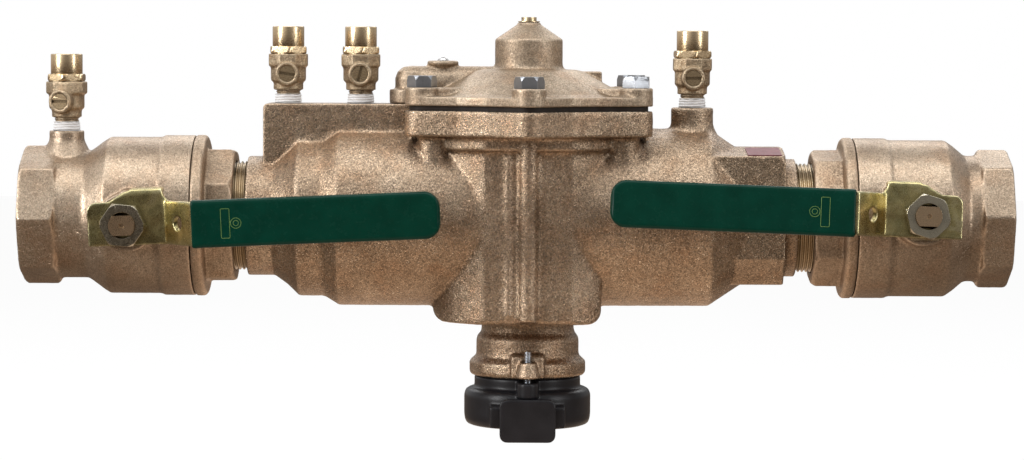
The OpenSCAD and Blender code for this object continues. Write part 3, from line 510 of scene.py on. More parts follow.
def burgundy_label():
    m = Mat("burgundy_label")
    cloud = m.noise(4, detail=3, rough=0.6)
    fine = m.noise(0.7, rough=0.6, off=(1, 2, 3))
    color = m.mix(m.remap(cloud), (0.12, 0.022, 0.030), (0.20, 0.045, 0.055))
    color = m.mix(m.remap(fine, span=(0.6, 0.8), to=(0, 0.3)), color, (0.36, 0.17, 0.16))
    return m.set(color=color, metal=0.25, rough=m.remap(fine, to=(0.36, 0.5)),
                 normal=m.bump(fine, strength=0.4, dist=0.03))

BODY_BRONZE = cast_bronze(
    "sand_cast_bronze", dark=(0.23, 0.155, 0.098), mid=(0.400, 0.290, 0.198),
    light=(0.68, 0.54, 0.40), rough=0.30, grain=0.85, bump=0.40, sparkle=1.0, metal=0.97,
    speck=0.55)
VALVE_BRONZE = cast_bronze(
    "fine_cast_bronze", dark=(0.27, 0.190, 0.130), mid=(0.45, 0.345, 0.248),
    light=(0.68, 0.56, 0.43), rough=0.36, grain=0.8, bump=0.15, sparkle=0.4, blotch=30,
    speck=0.34)
COVER_BRONZE = cast_bronze(
    "cover_cast_bronze", dark=(0.25, 0.180, 0.122), mid=(0.43, 0.335, 0.240),
    light=(0.70, 0.58, 0.45), rough=0.48, grain=0.85, bump=0.18, sparkle=0.5, metal=0.96,
    blotch=26, speck=0.40)
END_BRONZE = cast_bronze(
    "end_cast_bronze", dark=(0.23, 0.155, 0.102), mid=(0.44, 0.330, 0.230),
    light=(0.70, 0.56, 0.42), rough=0.46, grain=0.85, bump=0.20, sparkle=0.5, metal=0.96,
    blotch=26, speck=0.38)
FORGED = cast_bronze(
    "forged_brass", dark=(0.20, 0.140, 0.085), mid=(0.46, 0.350, 0.230),
    light=(0.76, 0.63, 0.45), rough=0.40, grain=0.7, bump=0.30, sparkle=0.6, metal=1.0,
    blotch=9, speck=0.34)
BRASS = machined("turned_brass", (0.76, 0.585, 0.365), rough=0.24, axis="z", tarnish=0.35)
NIPPLE = machined("threaded_brass", (0.60, 0.475, 0.315), rough=0.28, axis="x", tarnish=0.35)
STEM = machined("stem_bronze", (0.64, 0.46, 0.29), rough=0.27, tarnish=0.3)
ZINC = machined("bright_zinc", (0.60, 0.64, 0.70), rough=0.24, line=0.6, tarnish=0.35, dark=0.62)
NUT = machined("nut_zinc", (0.66, 0.60, 0.46), rough=0.20, line=0.7, tarnish=0.5, dark=0.40)
BOLT = machined("bolt_zinc", (0.42, 0.44, 0.47), rough=0.34, line=0.5, tarnish=0.40)
STAINLESS = machined("stainless_steel", (0.62, 0.61, 0.60), rough=0.25, line=0.4, tarnish=0.15)
CHROME = machined("chrome_plate", (0.78, 0.79, 0.80), rough=0.08, line=1.4, tarnish=0.05)
LEVER_ZINC = yellow_zinc()
VINYL = vinyl()
BLACK = plastic("black_moulded", (0.008, 0.008, 0.010), (0.014, 0.014, 0.017), rough=0.36,
                fleck=0.25)
RUBBER = plastic("black_rubber", (0.010, 0.010, 0.010), (0.020, 0.019, 0.018), rough=0.6)
RIM_RUBBER = plastic("diaphragm_edge", (0.014, 0.010, 0.008), (0.026, 0.018, 0.013), rough=0.6)
ACETAL = plastic("natural_acetal", (0.70, 0.66, 0.56), (0.78, 0.75, 0.66), rough=0.38)
TAPE = ptfe_tape()
LABEL = burgundy_label()

def paint(o, material):
    o.data.materials.clear()
    o.data.materials.append(material)

def piece(o, material, body, slot_name, *nodes):
    paint(o, material)
    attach(o, body)
    if nodes:
        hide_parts(*nodes)


# ---------------------------------------------------------------- castings
def casting(node, name, voxel_mm, smooth, fillets, fillet_passes, skin, amp, seed, convex=0.06):
    """A CAD casting made to look cast.

    smooth, fillets and skin are weights over the points: where voxel steps are taken off,
    where inside corners are filled, and where the skin is uneven by amp.
    """
    o = remeshed_copy(node, name, voxel_mm)
    cast_soften(o, passes(1, 2), smooth, convex=0.7)
    cast_soften(o, passes(*fillet_passes), fillets, convex)
    roughen(o, amp, scale=2.4, seed=seed, weight=skin)
    return o

def body_casting():
    def outside_bores(pts):
        return 1 - ((flow_radius(pts) < 44) & (np.abs(pts[:, 0] - CX) > 60))
    def fillets(pts):
        """The top bolting face and the two end faces keep their edges."""
        x, z = pts[:, 0] - CX, pts[:, 2]
        weight = 1 - 0.9 * step(z, 58.2, 59.0)
        weight *= 1 - 0.8 * step(-x, 147, 150)
        weight *= 1 - 0.8 * step(x, 140.5, 142)
        return weight * outside_bores(pts)
    def skin(pts):
        bolting_face = step(pts[:, 2], 59.0, 59.3) * (flow_radius(pts) < 75)
        return outside_bores(pts) * (1 - 0.9 * bolting_face)
    o = casting("main_body", "body_casting", voxel_mm=0.9,
                smooth=lambda pts: 0.25 + 0.75 * outside_bores(pts),
                fillets=fillets, fillet_passes=(3, 9), convex=0.05,
                skin=skin, amp=0.13, seed=11)
    piece(o, BODY_BRONZE, ROOT, "bronze_cast", "main_body")

def cover_casting():
    """The underside stays flat, and the top keeps its edges."""
    o = casting("relief_cover", "cover_casting", voxel_mm=0.65,
                smooth=lambda pts: step(pts[:, 2], 62.3, 63.2),
                fillets=lambda pts: step(pts[:, 2], 63.5, 66) * (1 - step(pts[:, 2], 103, 105)),
                fillet_passes=(3, 8),
                skin=lambda pts: step(pts[:, 2], 62.5, 63.5), amp=0.07, seed=21)
    piece(o, COVER_BRONZE, ROOT, "bronze_pale", "relief_cover")

def lever_side(pts, tag):
    """Distance from the stem along x, positive the way the lever points."""
    return (pts[:, 0] - STEM_X[tag]) * LEVER_DIR[tag]

def valve_casting(tag, seed):
    def outside(pts):
        return step(flow_radius(pts), 31.0, 33.5)
    o = casting(tag + "_valve_body", tag + "_valve_casting", voxel_mm=0.75,
                smooth=lambda pts: 0.25 + 0.75 * outside(pts),
                fillets=lambda pts: outside(pts) * (1 - step(lever_side(pts, tag), 28.0, 30.0)),
                fillet_passes=(3, 9), skin=outside, amp=0.07, seed=seed)
    if tag == "outlet":
        # clearance at the stop, where the closed lever's ear lies
        stop, reach, depth = np.array([508.0, -53.3, 6.5]), 2.5, 0.25
        co = get_co(o.data)
        near = np.exp(-(np.linalg.norm(co - stop, axis=1) / reach) ** 2)
        set_co(o.data, co - vert_normals(o.data) * (depth * near)[:, None])
    piece(o, VALVE_BRONZE, ROOT, "bronze_pale", tag + "_valve_body")

def end_casting(tag, seed):
    def outside(pts):
        return step(flow_radius(pts), 31.0, 33.0)
    o = casting(tag + "_valve_retainer", tag + "_end_casting", voxel_mm=0.75,
                smooth=lambda pts: 0.2 + 0.8 * outside(pts),
                fillets=lambda pts: outside(pts) * step(lever_side(pts, tag), 38, 39.5),
                fillet_passes=(1, 4), skin=outside, amp=0.08, seed=seed)
    piece(o, END_BRONZE, ROOT, "bronze_cast", tag + "_valve_retainer")

body_casting()
cover_casting()
for i, tag in enumerate(TAGS):
    valve_casting(tag, seed=36 + i)
for i, tag in enumerate(TAGS):
    end_casting(tag, seed=46 + i)


# ---------------------------------------------------------------- threaded pieces
def thread_height(turns):
    """0 at a thread's root, 1 at its crest, flat at both."""
    flat = 0.12
    return np.clip((np.abs((turns % 1.0) * 2 - 1) - flat) / (1 - 2 * flat), 0, 1)

def threaded_bar(low, high, radius, pitch, depth, around, per_pitch, chamfer, bore=0.0):
    """Along +z with thread crests at radius; closed, with a bore if asked."""
    rows = max(8, int((high - low) / pitch * per_pitch))
    angles = full_turn(around)
    z, angle = np.meshgrid(np.linspace(low, high, rows), angles, indexing="ij")
    r = radius - depth * (1 - thread_height(z / pitch - angle / (2 * math.pi)))
    limit = radius - np.clip(chamfer - np.minimum(z - low, high - z), 0, chamfer)
    r = np.minimum(r, np.maximum(limit, radius - depth * 1.05))
    outer = np.stack([r * np.cos(angle), r * np.sin(angle), z], -1)
    if bore == 0:
        return grid(outer, caps=True)
    z, angle = np.meshgrid(np.linspace(high, low, 6), angles, indexing="ij")
    inner = np.stack([bore * np.cos(angle), bore * np.sin(angle), z], -1)
    return grid(np.concatenate([outer, inner]), wrap_u=True)

def pipe_nipple(tag):
    lo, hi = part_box(tag + "_nipple")
    bar = threaded_bar(lo.x * 1000, hi.x * 1000, radius=30.13, pitch=2.209, depth=1.25,
                       around=144, per_pitch=9, chamfer=0.6, bore=26.2)
    o = mesh_from(along_x(bar), tag + "_pipe_nipple")
    piece(o, NIPPLE, ROOT, "brass_machined", tag + "_nipple")

for tag in TAGS:
    pipe_nipple(tag)


# ---------------------------------------------------------------- levers and grips
# In a handle's own frame the stem is the origin and the lever runs along +x, in front of it.
GRIP_Y = -84.0                                  # middle of the grip's thickness
GRIP_START = {"inlet": 38.3, "outlet": 40.4}
GRIP_END = 170.0
GRIP_HALF_WIDTH, GRIP_HALF_THICK = 12.65, 3.4   # along z, along y
GRIP_EDGE = 1.9                                 # edge radius of the section
GRIP_TIP_RADIUS = 8.6                           # corners at the free end, seen from the front
GRIP_TIP_EASE = 2.3                             # length over which the tip thins
GRIP_AROUND = 64

def handle_frame(tag):
    return np.array(Matrix.Translation((STEM_X[tag], 0, 0))
                    @ Matrix.Diagonal((LEVER_DIR[tag], 1, 1, 1))
                    @ Matrix.Rotation(ROLL[tag], 4, "X")
                    @ Matrix.Rotation(-TILT[tag], 4, "Y"))

def transformed(matrix, verts):
    return verts @ matrix[:3, :3].T + matrix[:3, 3]

def lever_strap(tag, body):
    o = remeshed_copy(tag + "_lever", tag + "_lever_strap", voxel_mm=0.5)
    to_handle = np.linalg.inv(handle_frame(tag))
    relax(o, passes(1, 3))
    def bends(pts):
        """Two bends across the strap, and its part above z = 14."""
        x, y, z = transformed(to_handle, pts).T
        near_stem = np.exp(-((x - 22.5) / 3.0) ** 2) * step(-y, 55, 60)
        near_grip = np.exp(-((x - 39.5) / 3.0) ** 2)
        return np.maximum(np.maximum(near_stem, near_grip), step(z, 14.0, 15.5))
    relax(o, passes(4, 14), bends)
    piece(o, LEVER_ZINC, body, "zinc_yellow", tag + "_lever")

def grip_section(x, half_width, half_thick, corner):
    """Rounded rectangle across the lever at x, as evenly spaced points."""
    outline = np.array(fillet([(-half_width, -half_thick), (half_width, -half_thick),
                               (half_width, half_thick), (-half_width, half_thick)],
                              corner, segments=12))
    outline = np.r_[outline, outline[:1]]
    length = np.r_[0, np.cumsum(np.linalg.norm(np.diff(outline, axis=0), axis=1))]
    places = np.linspace(0, length[-1], GRIP_AROUND, endpoint=False)
    return np.stack([np.full(GRIP_AROUND, x),
                     np.interp(places, length, outline[:, 1]) + GRIP_Y,
                     np.interp(places, length, outline[:, 0])], 1)

def vinyl_grip(tag, body):
    start = GRIP_START[tag]
    rows = []
    for x in np.r_[start, start + 0.25, start + 0.8, start + 2,
                   np.linspace(start + 6, GRIP_END - 8, 26)]:
        # a rounded edge, a raised lip just behind it, then a slightly wavy dip
        edge = max(0.0, 1 - (x - start) / 1.0)
        lip = 0.30 * math.exp(-((x - start - 2.2) / 2.2) ** 2)
        sag = 0.16 * math.sin((x - start) / 132 * math.pi) + 0.10 * math.sin(x * 0.21)
        rows.append(grip_section(
            x, GRIP_HALF_WIDTH - 0.35 * edge ** 2 + lip * 0.3 - 0.05 * abs(sag),
            GRIP_HALF_THICK - 0.5 * edge ** 2 + lip + 0.12 * sag, GRIP_EDGE))
    for k in range(1, 15):
        # the outline turns its corners while the thickness eases to a blunt end
        angle = k / 14.0 * math.pi / 2
        x = GRIP_END - GRIP_TIP_RADIUS * (1 - math.sin(angle))
        narrowing = GRIP_TIP_RADIUS * (1 - math.cos(angle))
        past = max(0.0, (x - (GRIP_END - GRIP_TIP_EASE)) / 2.34)
        thick = GRIP_HALF_THICK * math.sqrt(1 - past ** 2)
        rows.append(grip_section(x, GRIP_HALF_WIDTH - narrowing, max(thick, 0.3),
                                 min(GRIP_EDGE, max(thick * 0.9, 0.05))))
    verts, faces = grid(np.array(rows), caps=True)
    o = mesh_from((transformed(handle_frame(tag), verts), faces), tag + "_vinyl_grip")
    smooth_angle(o, 50)
    piece(o, VINYL, body, "green_vinyl", tag + "_grip")

def raised_line(path):
    """A thin closed tube along (x, z) points on the grip's front face."""
    half_width, height = 0.16 * 0.7, 0.09
    path = np.array([(x, GRIP_Y - GRIP_HALF_THICK - 0.03, z) for x, z in path])
    tangents = np.roll(path, -1, 0) - np.roll(path, 1, 0)
    tangents /= np.linalg.norm(tangents, axis=1)[:, None]
    sideways = np.cross(tangents, [0, 1, 0])
    return grid(np.stack([path + sideways * half_width * math.cos(k * math.pi / 4)
                          + np.array([0, 1, 0]) * height * math.sin(k * math.pi / 4)
                          for k in range(8)], 1), wrap_u=True)

def grip_mark(tag, body):
    """A plain frame with two rings beside it."""
    m = Mat(tag + "_mark")
    m.set(color=m.mix(m.noise(0.8), (0.10, 0.22, 0.05), (0.20, 0.32, 0.08)), rough=0.4)
    near, far, half_height, ring_x = 54.1, 58.7, 7.8, 62.0
    lines = [raised_line(fillet([(near, -half_height), (far, -half_height),
                                 (far, half_height), (near, half_height)], 0.5, segments=3))]
    for r in (2.75, 1.4):
        lines.append(raised_line([(ring_x + r * math.cos(a), r * math.sin(a))
                                  for a in full_turn(40)]))
    verts, faces = joined(lines)
    o = mesh_from((transformed(handle_frame(tag), verts), faces), tag + "_grip_mark")
    piece(o, m.material, body, "green_vinyl")

for tag in TAGS:
    lever_strap(tag, tag + "_handle")
    vinyl_grip(tag, tag + "_handle")
    grip_mark(tag, tag + "_handle")


# ---------------------------------------------------------------- test cocks
def cock_forging(number, cock_x, land_z):
    node = "testcock_%d_body" % number
    o = remeshed_copy(node, "testcock_%d_forging" % number, voxel_mm=0.4)
    def outside_bore(pts):
        return step(upright_radius(pts, cock_x), 3.5, 4.5)
    def forged(pts):
        z = pts[:, 2] - land_z
        return step(z, 8.5, 10) * (1 - 0.6 * step(z, 20.8, 21.6)) * outside_bore(pts)
    relax(o, passes(1, 3), outside_bore)
    relax(o, passes(3, 9), forged)
    # thread cut into the foot
    co = get_co(o.data)
    r = upright_radius(co, cock_x)
    z = co[:, 2] - land_z
    turns = np.arctan2(co[:, 1], co[:, 0] - cock_x) / (2 * math.pi)
    depth = 0.75 * (1 - thread_height(z / COCK_PITCH - turns))
    on_foot = (r > 5.5) & (r < 7.3) & (z < 7.3)
    factor = np.where(on_foot, (r - depth) / np.maximum(r, 1e-6), 1.0)
    co[:, 0] = cock_x + (co[:, 0] - cock_x) * factor
    co[:, 1] = co[:, 1] * factor
    set_co(o.data, co)
    roughen(o, amp=0.05, scale=1.6, seed=50 + number,
            weight=lambda pts: step(pts[:, 2] - land_z, 8, 9))
    piece(o, FORGED, ROOT, "brass_forged", node)

# outline of the hollow end piece: (radius, height above the land), and corner radii
END_PROFILE = [(4.2, 21.3), (6.9, 21.3), (6.9, 31.0), (8.75, 31.0), (8.75, COCK_HEIGHT),
               (6.7, COCK_HEIGHT), (6.7, 30.4), (4.2, 30.4)]
END_ROUNDING = [0.2, 0.3, 0, 0.2, 0.55, 0.5, 0.2, 0.2]
HEX_HALF_FLATS = 9.70
# height above the land and the radius that limits the hexagon's corners there
HEX_LEVELS = [(27.25, 6.95), (27.25, 9.9), (27.8, 10.6), (28.3, 11.3),
              (30.2, 11.3), (30.9, 10.7), (31.35, 9.95), (31.35, 8.6)]

def end_fittings():
    parts = []
    for i, (cock_x, land_z) in enumerate(COCKS):
        place = (cock_x, 0, land_z)
        parts.append(shifted(lathe(fillet(END_PROFILE, END_ROUNDING, segments=3), 64), place))
        # hexagon with turned-down corners
        angles = full_turn(96)
        turned = math.radians(8 if i else -2)
        from_flat = (angles - turned + math.pi / 6) % (math.pi / 3) - math.pi / 6
        hex_radius = HEX_HALF_FLATS / np.cos(from_flat)
        rows = [[(min(h, limit) * math.cos(a), min(h, limit) * math.sin(a), z)
                 for h, a in zip(hex_radius, angles)] for z, limit in HEX_LEVELS]
        parts.append(shifted(grid(np.array(rows), wrap_u=True), place))
    o = mesh_from(joined(parts), "testcock_end_fittings")
    smooth_angle(o, 28)
    piece(o, BRASS, ROOT, "brass_machined", "testcock_end_pieces")

def thread_tape():
    """Tape round each foot, tapering upward, pulled into the thread so its crests show."""
    count = 96
    angles = full_turn(count)
    heights = np.r_[0.05, np.linspace(0.12, 5.1, 34), 5.2]
    parts = []
    for i, (cock_x, land_z) in enumerate(COCKS):
        rows = []
        for z in heights:
            root = 1 - thread_height(z / COCK_PITCH - angles / (2 * math.pi))
            wrinkle = 0.06 * np.sin(angles * 7 + z * 3 + i * 2)
            r = 7.62 - 0.07 * z - 0.42 * root + wrinkle + 0.03 * rng.standard_normal(count)
            if z in (heights[0], heights[-1]):
                r = np.full(count, 6.9)         # both edges tuck in
            wave = 0.10 * np.sin(angles * 3 + i) if 0.3 < z < 5.05 else 0
            rows.append(np.stack([cock_x + r * np.cos(angles), r * np.sin(angles),
                                  np.full(count, land_z + z) + wave], 1))
        parts.append(grid(np.array(rows), wrap_u=True))
    o = mesh_from(joined(parts), "ptfe_thread_tape")
    piece(o, TAPE, ROOT, "ptfe", "thread_tapes")

for i, (cock_x, land_z) in enumerate(COCKS):
    cock_forging(i + 1, cock_x, land_z)
end_fittings()
thread_tape()


# ---------------------------------------------------------------- discharge ring
def discharge_ring():
    o = remeshed_copy("discharge_ring", "discharge_ring_moulding", voxel_mm=0.6)
    relax(o, passes(2, 7), lambda pts: step(upright_radius(pts, CX), 26.5, 28))
    piece(o, BLACK, ROOT, "black_plastic", "discharge_ring")

def ring_cover():
    o = remeshed_copy("sensor_cover", "ring_front_cover", voxel_mm=0.5)
    relax(o, passes(3, 9))
    piece(o, BLACK, ROOT, "black_plastic", "sensor_cover")

def ring_studs():
    lo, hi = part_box("ring_screws")
    stud = threaded_bar(lo.z * 1000, hi.z * 1000, radius=2.0, pitch=0.8, depth=0.34,
                        around=40, per_pitch=8, chamfer=0.5)
    o = mesh_from(joined([shifted(stud, (CX, y, 0)) for y in (-41, 41)]), "ring_studs")
    piece(o, ZINC, ROOT, "zinc_steel", "ring_screws")

discharge_ring()
ring_cover()
ring_studs()


# ---------------------------------------------------------------- springs and diaphragm
def set_blend(o, weights):
    data = o.data.attributes["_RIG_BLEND"].data
    data.foreach_set("value", weights.astype(np.float32))

def coil(radius, wire, length, turns):
    """A spring along +z from z = 0; wire is the wire's radius."""
    around = 14
    closed, rise = 0.75, 0.04       # turns in a closed end coil, and its share of the rise
    turn = np.linspace(0, 1, int(turns * 48)) * turns
    share = np.where(turn < closed, turn / closed * rise, np.where(
        turn > turns - closed, 1 - (turns - turn) / closed * rise,
        rise + (1 - 2 * rise) * (turn - closed) / (turns - 2 * closed)))
    angle = 2 * math.pi * turn
    outward = np.stack([np.cos(angle), np.sin(angle), np.zeros(len(turn))], 1)
    centre = radius * outward
    centre[:, 2] = wire + (length - 2 * wire) * share
    tangent = np.gradient(centre, axis=0)
    tangent /= np.linalg.norm(tangent, axis=1)[:, None]
    across = np.cross(tangent, outward)
    return grid(np.stack([centre + outward * wire * math.cos(k * 2 * math.pi / around)
                          + across * wire * math.sin(k * 2 * math.pi / around)
                          for k in range(around)], 1), caps=True)

def spring_piece(surface, name, node, moving_body, start, end):
    """The spring stretches from its fixed end (start) to its moving end, in metres."""
    o = mesh_from(surface, name)
    paint(o, STAINLESS)
    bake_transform(o, ROOT, moving_body, start=start, end=end)
    origin = np.array(start) * 1000
    span = (np.array(end) - np.array(start)) * 1000
    set_blend(o, np.clip(((get_co(o.data) - origin) @ span) / (span @ span), 0, 1))
    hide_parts(node)

def check_spring(k):
    node = "check%d_spring" % k
    lo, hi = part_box(node)
    surface = along_x(coil(radius=12.0, wire=1.1, length=(hi.x - lo.x) * 1000, turns=4.0))
    spring_piece(shifted(surface, (lo.x * 1000, 0, 0)), "check_%d_coil_spring" % k, node,
                 "check%d_moving" % k, start=(hi.x, 0, 0), end=(lo.x, 0, 0))

def relief_spring():
    lo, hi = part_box("relief_spring")
    surface = coil(radius=16.0, wire=1.3, length=(hi.z - lo.z) * 1000, turns=3.5)
    spring_piece(shifted(surface, (CX, 0, lo.z * 1000)), "relief_coil_spring",
                 "relief_spring", "relief_moving",
                 start=(CX * MM, 0, lo.z), end=(CX * MM, 0, hi.z))

# radii of the diaphragm's rings, closest where it bends
DIAPHRAGM_RADII = [4.1, 12, 20, 28, 30.5, 33, 35, 37, 39, 41, 43, 45, 47, 49, 51, 54, 58.4]

def diaphragm():
    """Thinner by 0.5 a side in its bending band, which takes up the movement."""
    lo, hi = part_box("diaphragm")
    top = [(r, hi.z * 1000 - (0.5 if 33 < r < 49 else 0)) for r in DIAPHRAGM_RADII]
    bottom = [(r, lo.z * 1000 + (0.5 if 34 < r < 49 else 0)) for r in DIAPHRAGM_RADII[::-1]]
    o = mesh_from(shifted(lathe(top + bottom, 96), (CX, 0, 0)), "relief_diaphragm")
    smooth_angle(o, 50)
    paint(o, RUBBER)
    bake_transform(o, ROOT, "relief_moving", start=(CX * MM, 0, 0), end=(CX * MM, 0, 0.1))
    set_blend(o, 1 - step(upright_radius(get_co(o.data), CX), 34.2, 48.5))
    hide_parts("diaphragm")

# The flange outline round the relief axis: six round lobes, flats midway between them and
# straight shoulders joining the two. Angles are from a lobe's middle.
LOBE_CENTRE, LOBE_RADIUS = 67.1, 9.3
SHOULDER_START = (74.1, math.radians(5.0))      # radius, angle
FLAT_END_RADIUS, FLAT_END_DEG = 62.2, 21.7
FLAT_DIST = FLAT_END_RADIUS * math.cos(math.radians(30 - FLAT_END_DEG))

def polar(radius, angle, side):
    return np.array([radius * math.cos(angle), side * radius * math.sin(angle)])

def cross_2d(a, b):
    return a[0] * b[1] - a[1] * b[0]

def flange_radius(angle):
    radius = 0.0
    for j in range(6):
        off = (angle - math.radians(30 + 60 * j) + math.pi) % (2 * math.pi) - math.pi
        aside = LOBE_CENTRE * math.sin(off)
        if abs(aside) < LOBE_RADIUS and math.cos(off) > 0:
            radius = max(radius, LOBE_CENTRE * math.cos(off)
                         + math.sqrt(LOBE_RADIUS ** 2 - aside ** 2))
        ray = np.array([math.cos(off), math.sin(off)])
        for side in (-1, 1):
            start = polar(*SHOULDER_START, side)
            edge = polar(FLAT_END_RADIUS, math.radians(FLAT_END_DEG), side) - start
            slant = cross_2d(ray, edge)
            if abs(slant) > 1e-9:
                along_ray = cross_2d(start, edge) / slant
                along_edge = cross_2d(start, ray) / slant
                if along_ray > 0 and -1e-6 <= along_edge <= 1 + 1e-6:
                    radius = max(radius, along_ray)
    if radius < 61:
        from_flat = angle % (math.pi / 3)
        if from_flat > math.pi / 6:
            from_flat -= math.pi / 3
        radius = max(radius, FLAT_DIST / math.cos(from_flat))
    return radius

def diaphragm_rim():
    """The clamped edge follows the flange outline, unevenly inset."""
    lo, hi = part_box("diaphragm")
    low, high = lo.z * 1000 + 0.06, hi.z * 1000 - 0.06
    inner, count = 57.9, 720
    sections = []
    for k in range(count):
        angle = 2 * math.pi * k / count
        inset = 2.6 + 0.15 * math.sin(angle * 23) + 0.12 * math.sin(angle * 41 + 1)
        outer = flange_radius(angle) - inset
        sections.append([(CX + r * math.cos(angle), r * math.sin(angle), z)
                         for r, z in ((inner, high), (outer, high), (outer, low), (inner, low))])
    o = mesh_from(grid(np.array(sections).swapaxes(0, 1), wrap_u=True), "diaphragm_rim")
    smooth_angle(o, 40)
    piece(o, RIM_RUBBER, ROOT, "black_rubber")

check_spring(1)
check_spring(2)
relief_spring()
diaphragm()
diaphragm_rim()


# ---------------------------------------------------------------- CAD nodes that stay
PAINTED = [
    (CHROME, "inlet_ball outlet_ball"),
    (STEM, "inlet_stem outlet_stem"),
    (NUT, "inlet_lever_nut outlet_lever_nut"),
    (TAPE, "ball_seats stem_packings"),
    (BRASS, "packing_glands testcock_1_core testcock_2_core testcock_3_core testcock_4_core "
            "bonnet_screw"),
    (BOLT, "cover_bolts"),
    (STAINLESS, "bleed_screw diaphragm_upper_plate relief_stem relief_stem_nut "
                "relief_disc_holder relief_seat retaining_rings"),
    (ACETAL, "diaphragm_lower_plate relief_guide check1_seat check1_cage check1_poppet "
             "check2_seat check2_cage check2_poppet"),
    (RUBBER, "relief_disc check1_disc check2_disc static_o_rings"),
    (LABEL, "id_label"),
]
for material, names in PAINTED:
    for name in names.split():
        paint(NODES[name], material)

def soften_edges(node, width, segments=2):
    weld = NODES[node].modifiers.new("w", "WELD")
    weld.merge_threshold = WELD_DIST
    bevel = NODES[node].modifiers.new("b", "BEVEL")
    bevel.width = width * MM
    bevel.segments = segments
    bevel.limit_method = "ANGLE"
    bevel.angle_limit = math.radians(30)
    bevel.harden_normals = False

for tag in TAGS:
    soften_edges(tag + "_lever_nut", width=0.65, segments=3)
    soften_edges(tag + "_stem", width=0.3)
soften_edges("cover_bolts", width=0.30)
soften_edges("bonnet_screw", width=0.2)
for i in range(4):
    soften_edges("testcock_%d_core" % (i + 1), width=0.2)


# ---------------------------------------------------------------- stage, in metres
def floor_material():
    """Near white to the camera; to all other rays a warm glow under the middle."""
    material = bpy.data.materials.new("studio_white")
    material.use_nodes = True
    tree = material.node_tree
    matt = tree.nodes["Principled BSDF"]
    feed(tree, matt.inputs["Base Color"], (0.93, 0.93, 0.93))
    feed(tree, matt.inputs["Roughness"], 0.9)
    white = add_node(tree, "Emission", {0: (1, 1, 1), 1: 1.0})[0]
    seen = add_node(tree, "MixShader", {0: 0.93, 1: matt.outputs[0], 2: white})[0]
    place = add_node(tree, "SeparateXYZ", {0: add_node(tree, "TexCoord")["Object"]})
    # the glow fades toward the front, and to either side under the ball valves
    front_fade = map_range(tree, place[1], span=(-0.28, -0.84), to=(0.72, 0.10),
                           interpolation_type="SMOOTHSTEP")
    offset = add_node(tree, "Math", {0: place[0], 1: CX * MM}, operation="SUBTRACT")[0]
    aside = add_node(tree, "Math", {0: offset}, operation="ABSOLUTE")[0]
    side_fade = map_range(tree, aside, span=(0.15, 0.23), to=(1.0, 0.30),
                          interpolation_type="SMOOTHSTEP")
    power = add_node(tree, "Math", {0: front_fade, 1: side_fade}, operation="MULTIPLY")[0]
    glow = add_node(tree, "Emission", {0: (1.0, 0.77, 0.60), 1: power})[0]
    to_camera = add_node(tree, "LightPath")["Is Camera Ray"]
    result = add_node(tree, "MixShader", {0: to_camera, 1: glow, 2: seen})[0]
    feed(tree, tree.nodes["Material Output"].inputs[0], result)
    return material

def studio_floor():
    height_mm = -190.0              # below the inlet lever when it hangs down
    rows = [[(x * 1000, y * 1000, height_mm) for x in np.linspace(-4, 4.6, 12)]
            for y in (-4.0, -2.0, 0.0, 2.0, 4.0)]
    o = mesh_from(grid(np.array(rows), wrap_v=False), "studio_floor")
    o.data.materials.append(floor_material())

# (place from straight down, 0, to straight up, 1; colour)
SKY_BY_HEIGHT = [(0.0, (0.16, 0.080, 0.042)), (0.44, (0.22, 0.13, 0.085)),
                 (0.52, (0.36, 0.34, 0.32)), (0.66, (0.52, 0.52, 0.53)),
                 (1.0, (0.58, 0.58, 0.58))]
# (place from -X, 0, to +X, 1; brightness): brighter to the left, darkest near the middle
SKY_BY_SIDE = [(0.0, 0.80), (0.22, 1.0), (0.40, 0.45), (0.54, 0.30), (0.66, 0.34),
               (0.80, 0.66), (1.0, 0.50)]

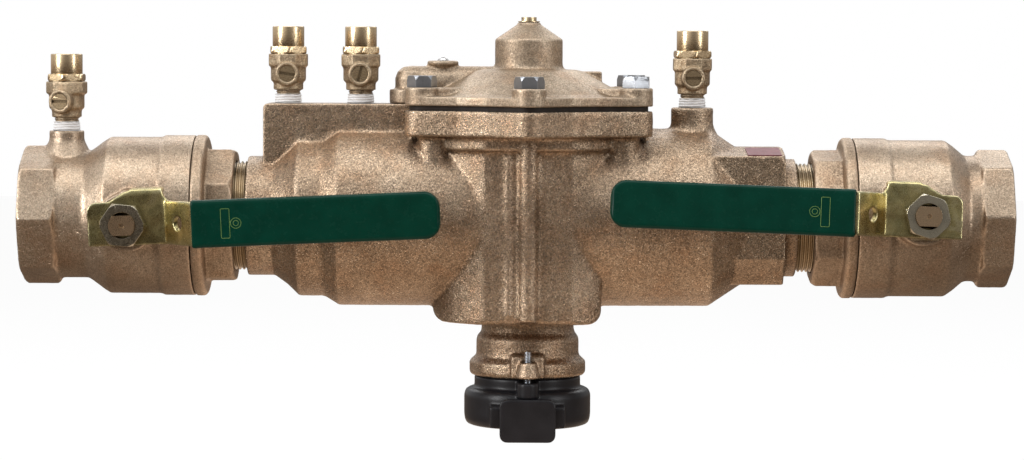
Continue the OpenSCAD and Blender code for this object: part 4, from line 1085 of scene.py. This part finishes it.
def studio_world():
    """Graded light on the piece, plain white to the camera."""
    world = bpy.data.worlds.new("studio")
    scene.world = world
    world.use_nodes = True
    tree = world.node_tree
    direction = add_node(tree, "SeparateXYZ", {0: add_node(tree, "TexCoord")["Generated"]})
    by_height = color_ramp(tree, map_range(tree, direction[2], span=(-1, 1)), SKY_BY_HEIGHT)
    by_side = color_ramp(tree, map_range(tree, direction[0], span=(-1, 1)),
                         [(place, (level,) * 3) for place, level in SKY_BY_SIDE])
    graded = add_node(tree, "Mix", {0: 1.0, 6: by_height, 7: by_side},
                      data_type="RGBA", blend_type="MULTIPLY")[2]
    lighting = tree.nodes["Background"]
    feed(tree, lighting.inputs[0], graded)
    feed(tree, lighting.inputs[1], 1.75)
    backdrop = add_node(tree, "Background", {0: (1, 1, 1), 1: 1.0})[0]
    to_camera = add_node(tree, "LightPath")["Is Camera Ray"]
    result = add_node(tree, "MixShader", {0: to_camera, 1: lighting.outputs[0], 2: backdrop})[0]
    feed(tree, tree.nodes["World Output"].inputs[0], result)

def area_light(name, offset, size, power, color=(1, 1, 1), aim_z=0):
    """A rectangle of light at an offset from the discharge axis, aimed at that axis."""
    light = bpy.data.lights.new(name, "AREA")
    light.shape = "RECTANGLE"
    light.size, light.size_y = size
    light.energy = power
    light.color = color
    o = bpy.data.objects.new(name, light)
    scene.collection.objects.link(o)
    o.location = place = (CX * MM + offset[0], offset[1], offset[2])
    o.rotation_mode = "QUATERNION"
    aim = Vector((CX * MM, 0, aim_z)) - Vector(place)
    o.rotation_quaternion = aim.to_track_quat("-Z", "Y")
    o.visible_camera = False
    return o

def lights():
    area_light("top_softbox", (0, -0.35, 1.25), size=(1.9, 0.9), power=12)
    area_light("front_left", (-1.5, -0.85, 0.50), size=(0.45, 0.9), power=16)
    area_light("front_right", (1.4, -0.9, 0.4), size=(0.35, 0.9), power=6)
    low = area_light("low_front", (-0.06, -0.80, -0.085), size=(1.3, 0.06), power=1.6,
                     color=(1.0, 0.80, 0.64), aim_z=-0.03)
    low.visible_glossy = False
    area_light("back_rim", (0, 1.2, 0.9), size=(1.8, 0.6), power=8)

def camera():
    distance, eye = 1.800, 0.100    # in front of the flow axis, and above it
    drop = eye + 0.0075             # the view is centred 7.5 mm below the axis
    view_width = 0.5683             # width seen at the flow axis
    roll = math.radians(0.26)
    data = bpy.data.cameras.new("camera")
    o = bpy.data.objects.new("camera", data)
    scene.collection.objects.link(o)
    scene.camera = o
    o.location = ((CX - 8.9) * MM, -distance, eye)
    data.sensor_width = 36.0
    data.lens = 36.0 * math.hypot(distance, drop) / view_width
    data.clip_start = 0.05
    data.clip_end = 50
    o.rotation_mode = "QUATERNION"
    pitch = math.radians(90) - math.atan2(drop, distance)
    o.rotation_quaternion = Quaternion((1, 0, 0), pitch) @ Quaternion((0, 0, 1), roll)

studio_floor()
studio_world()
lights()
camera()
scene.view_settings.view_transform = "Standard"
scene.view_settings.look = "None"
scene.view_settings.exposure = 0.0
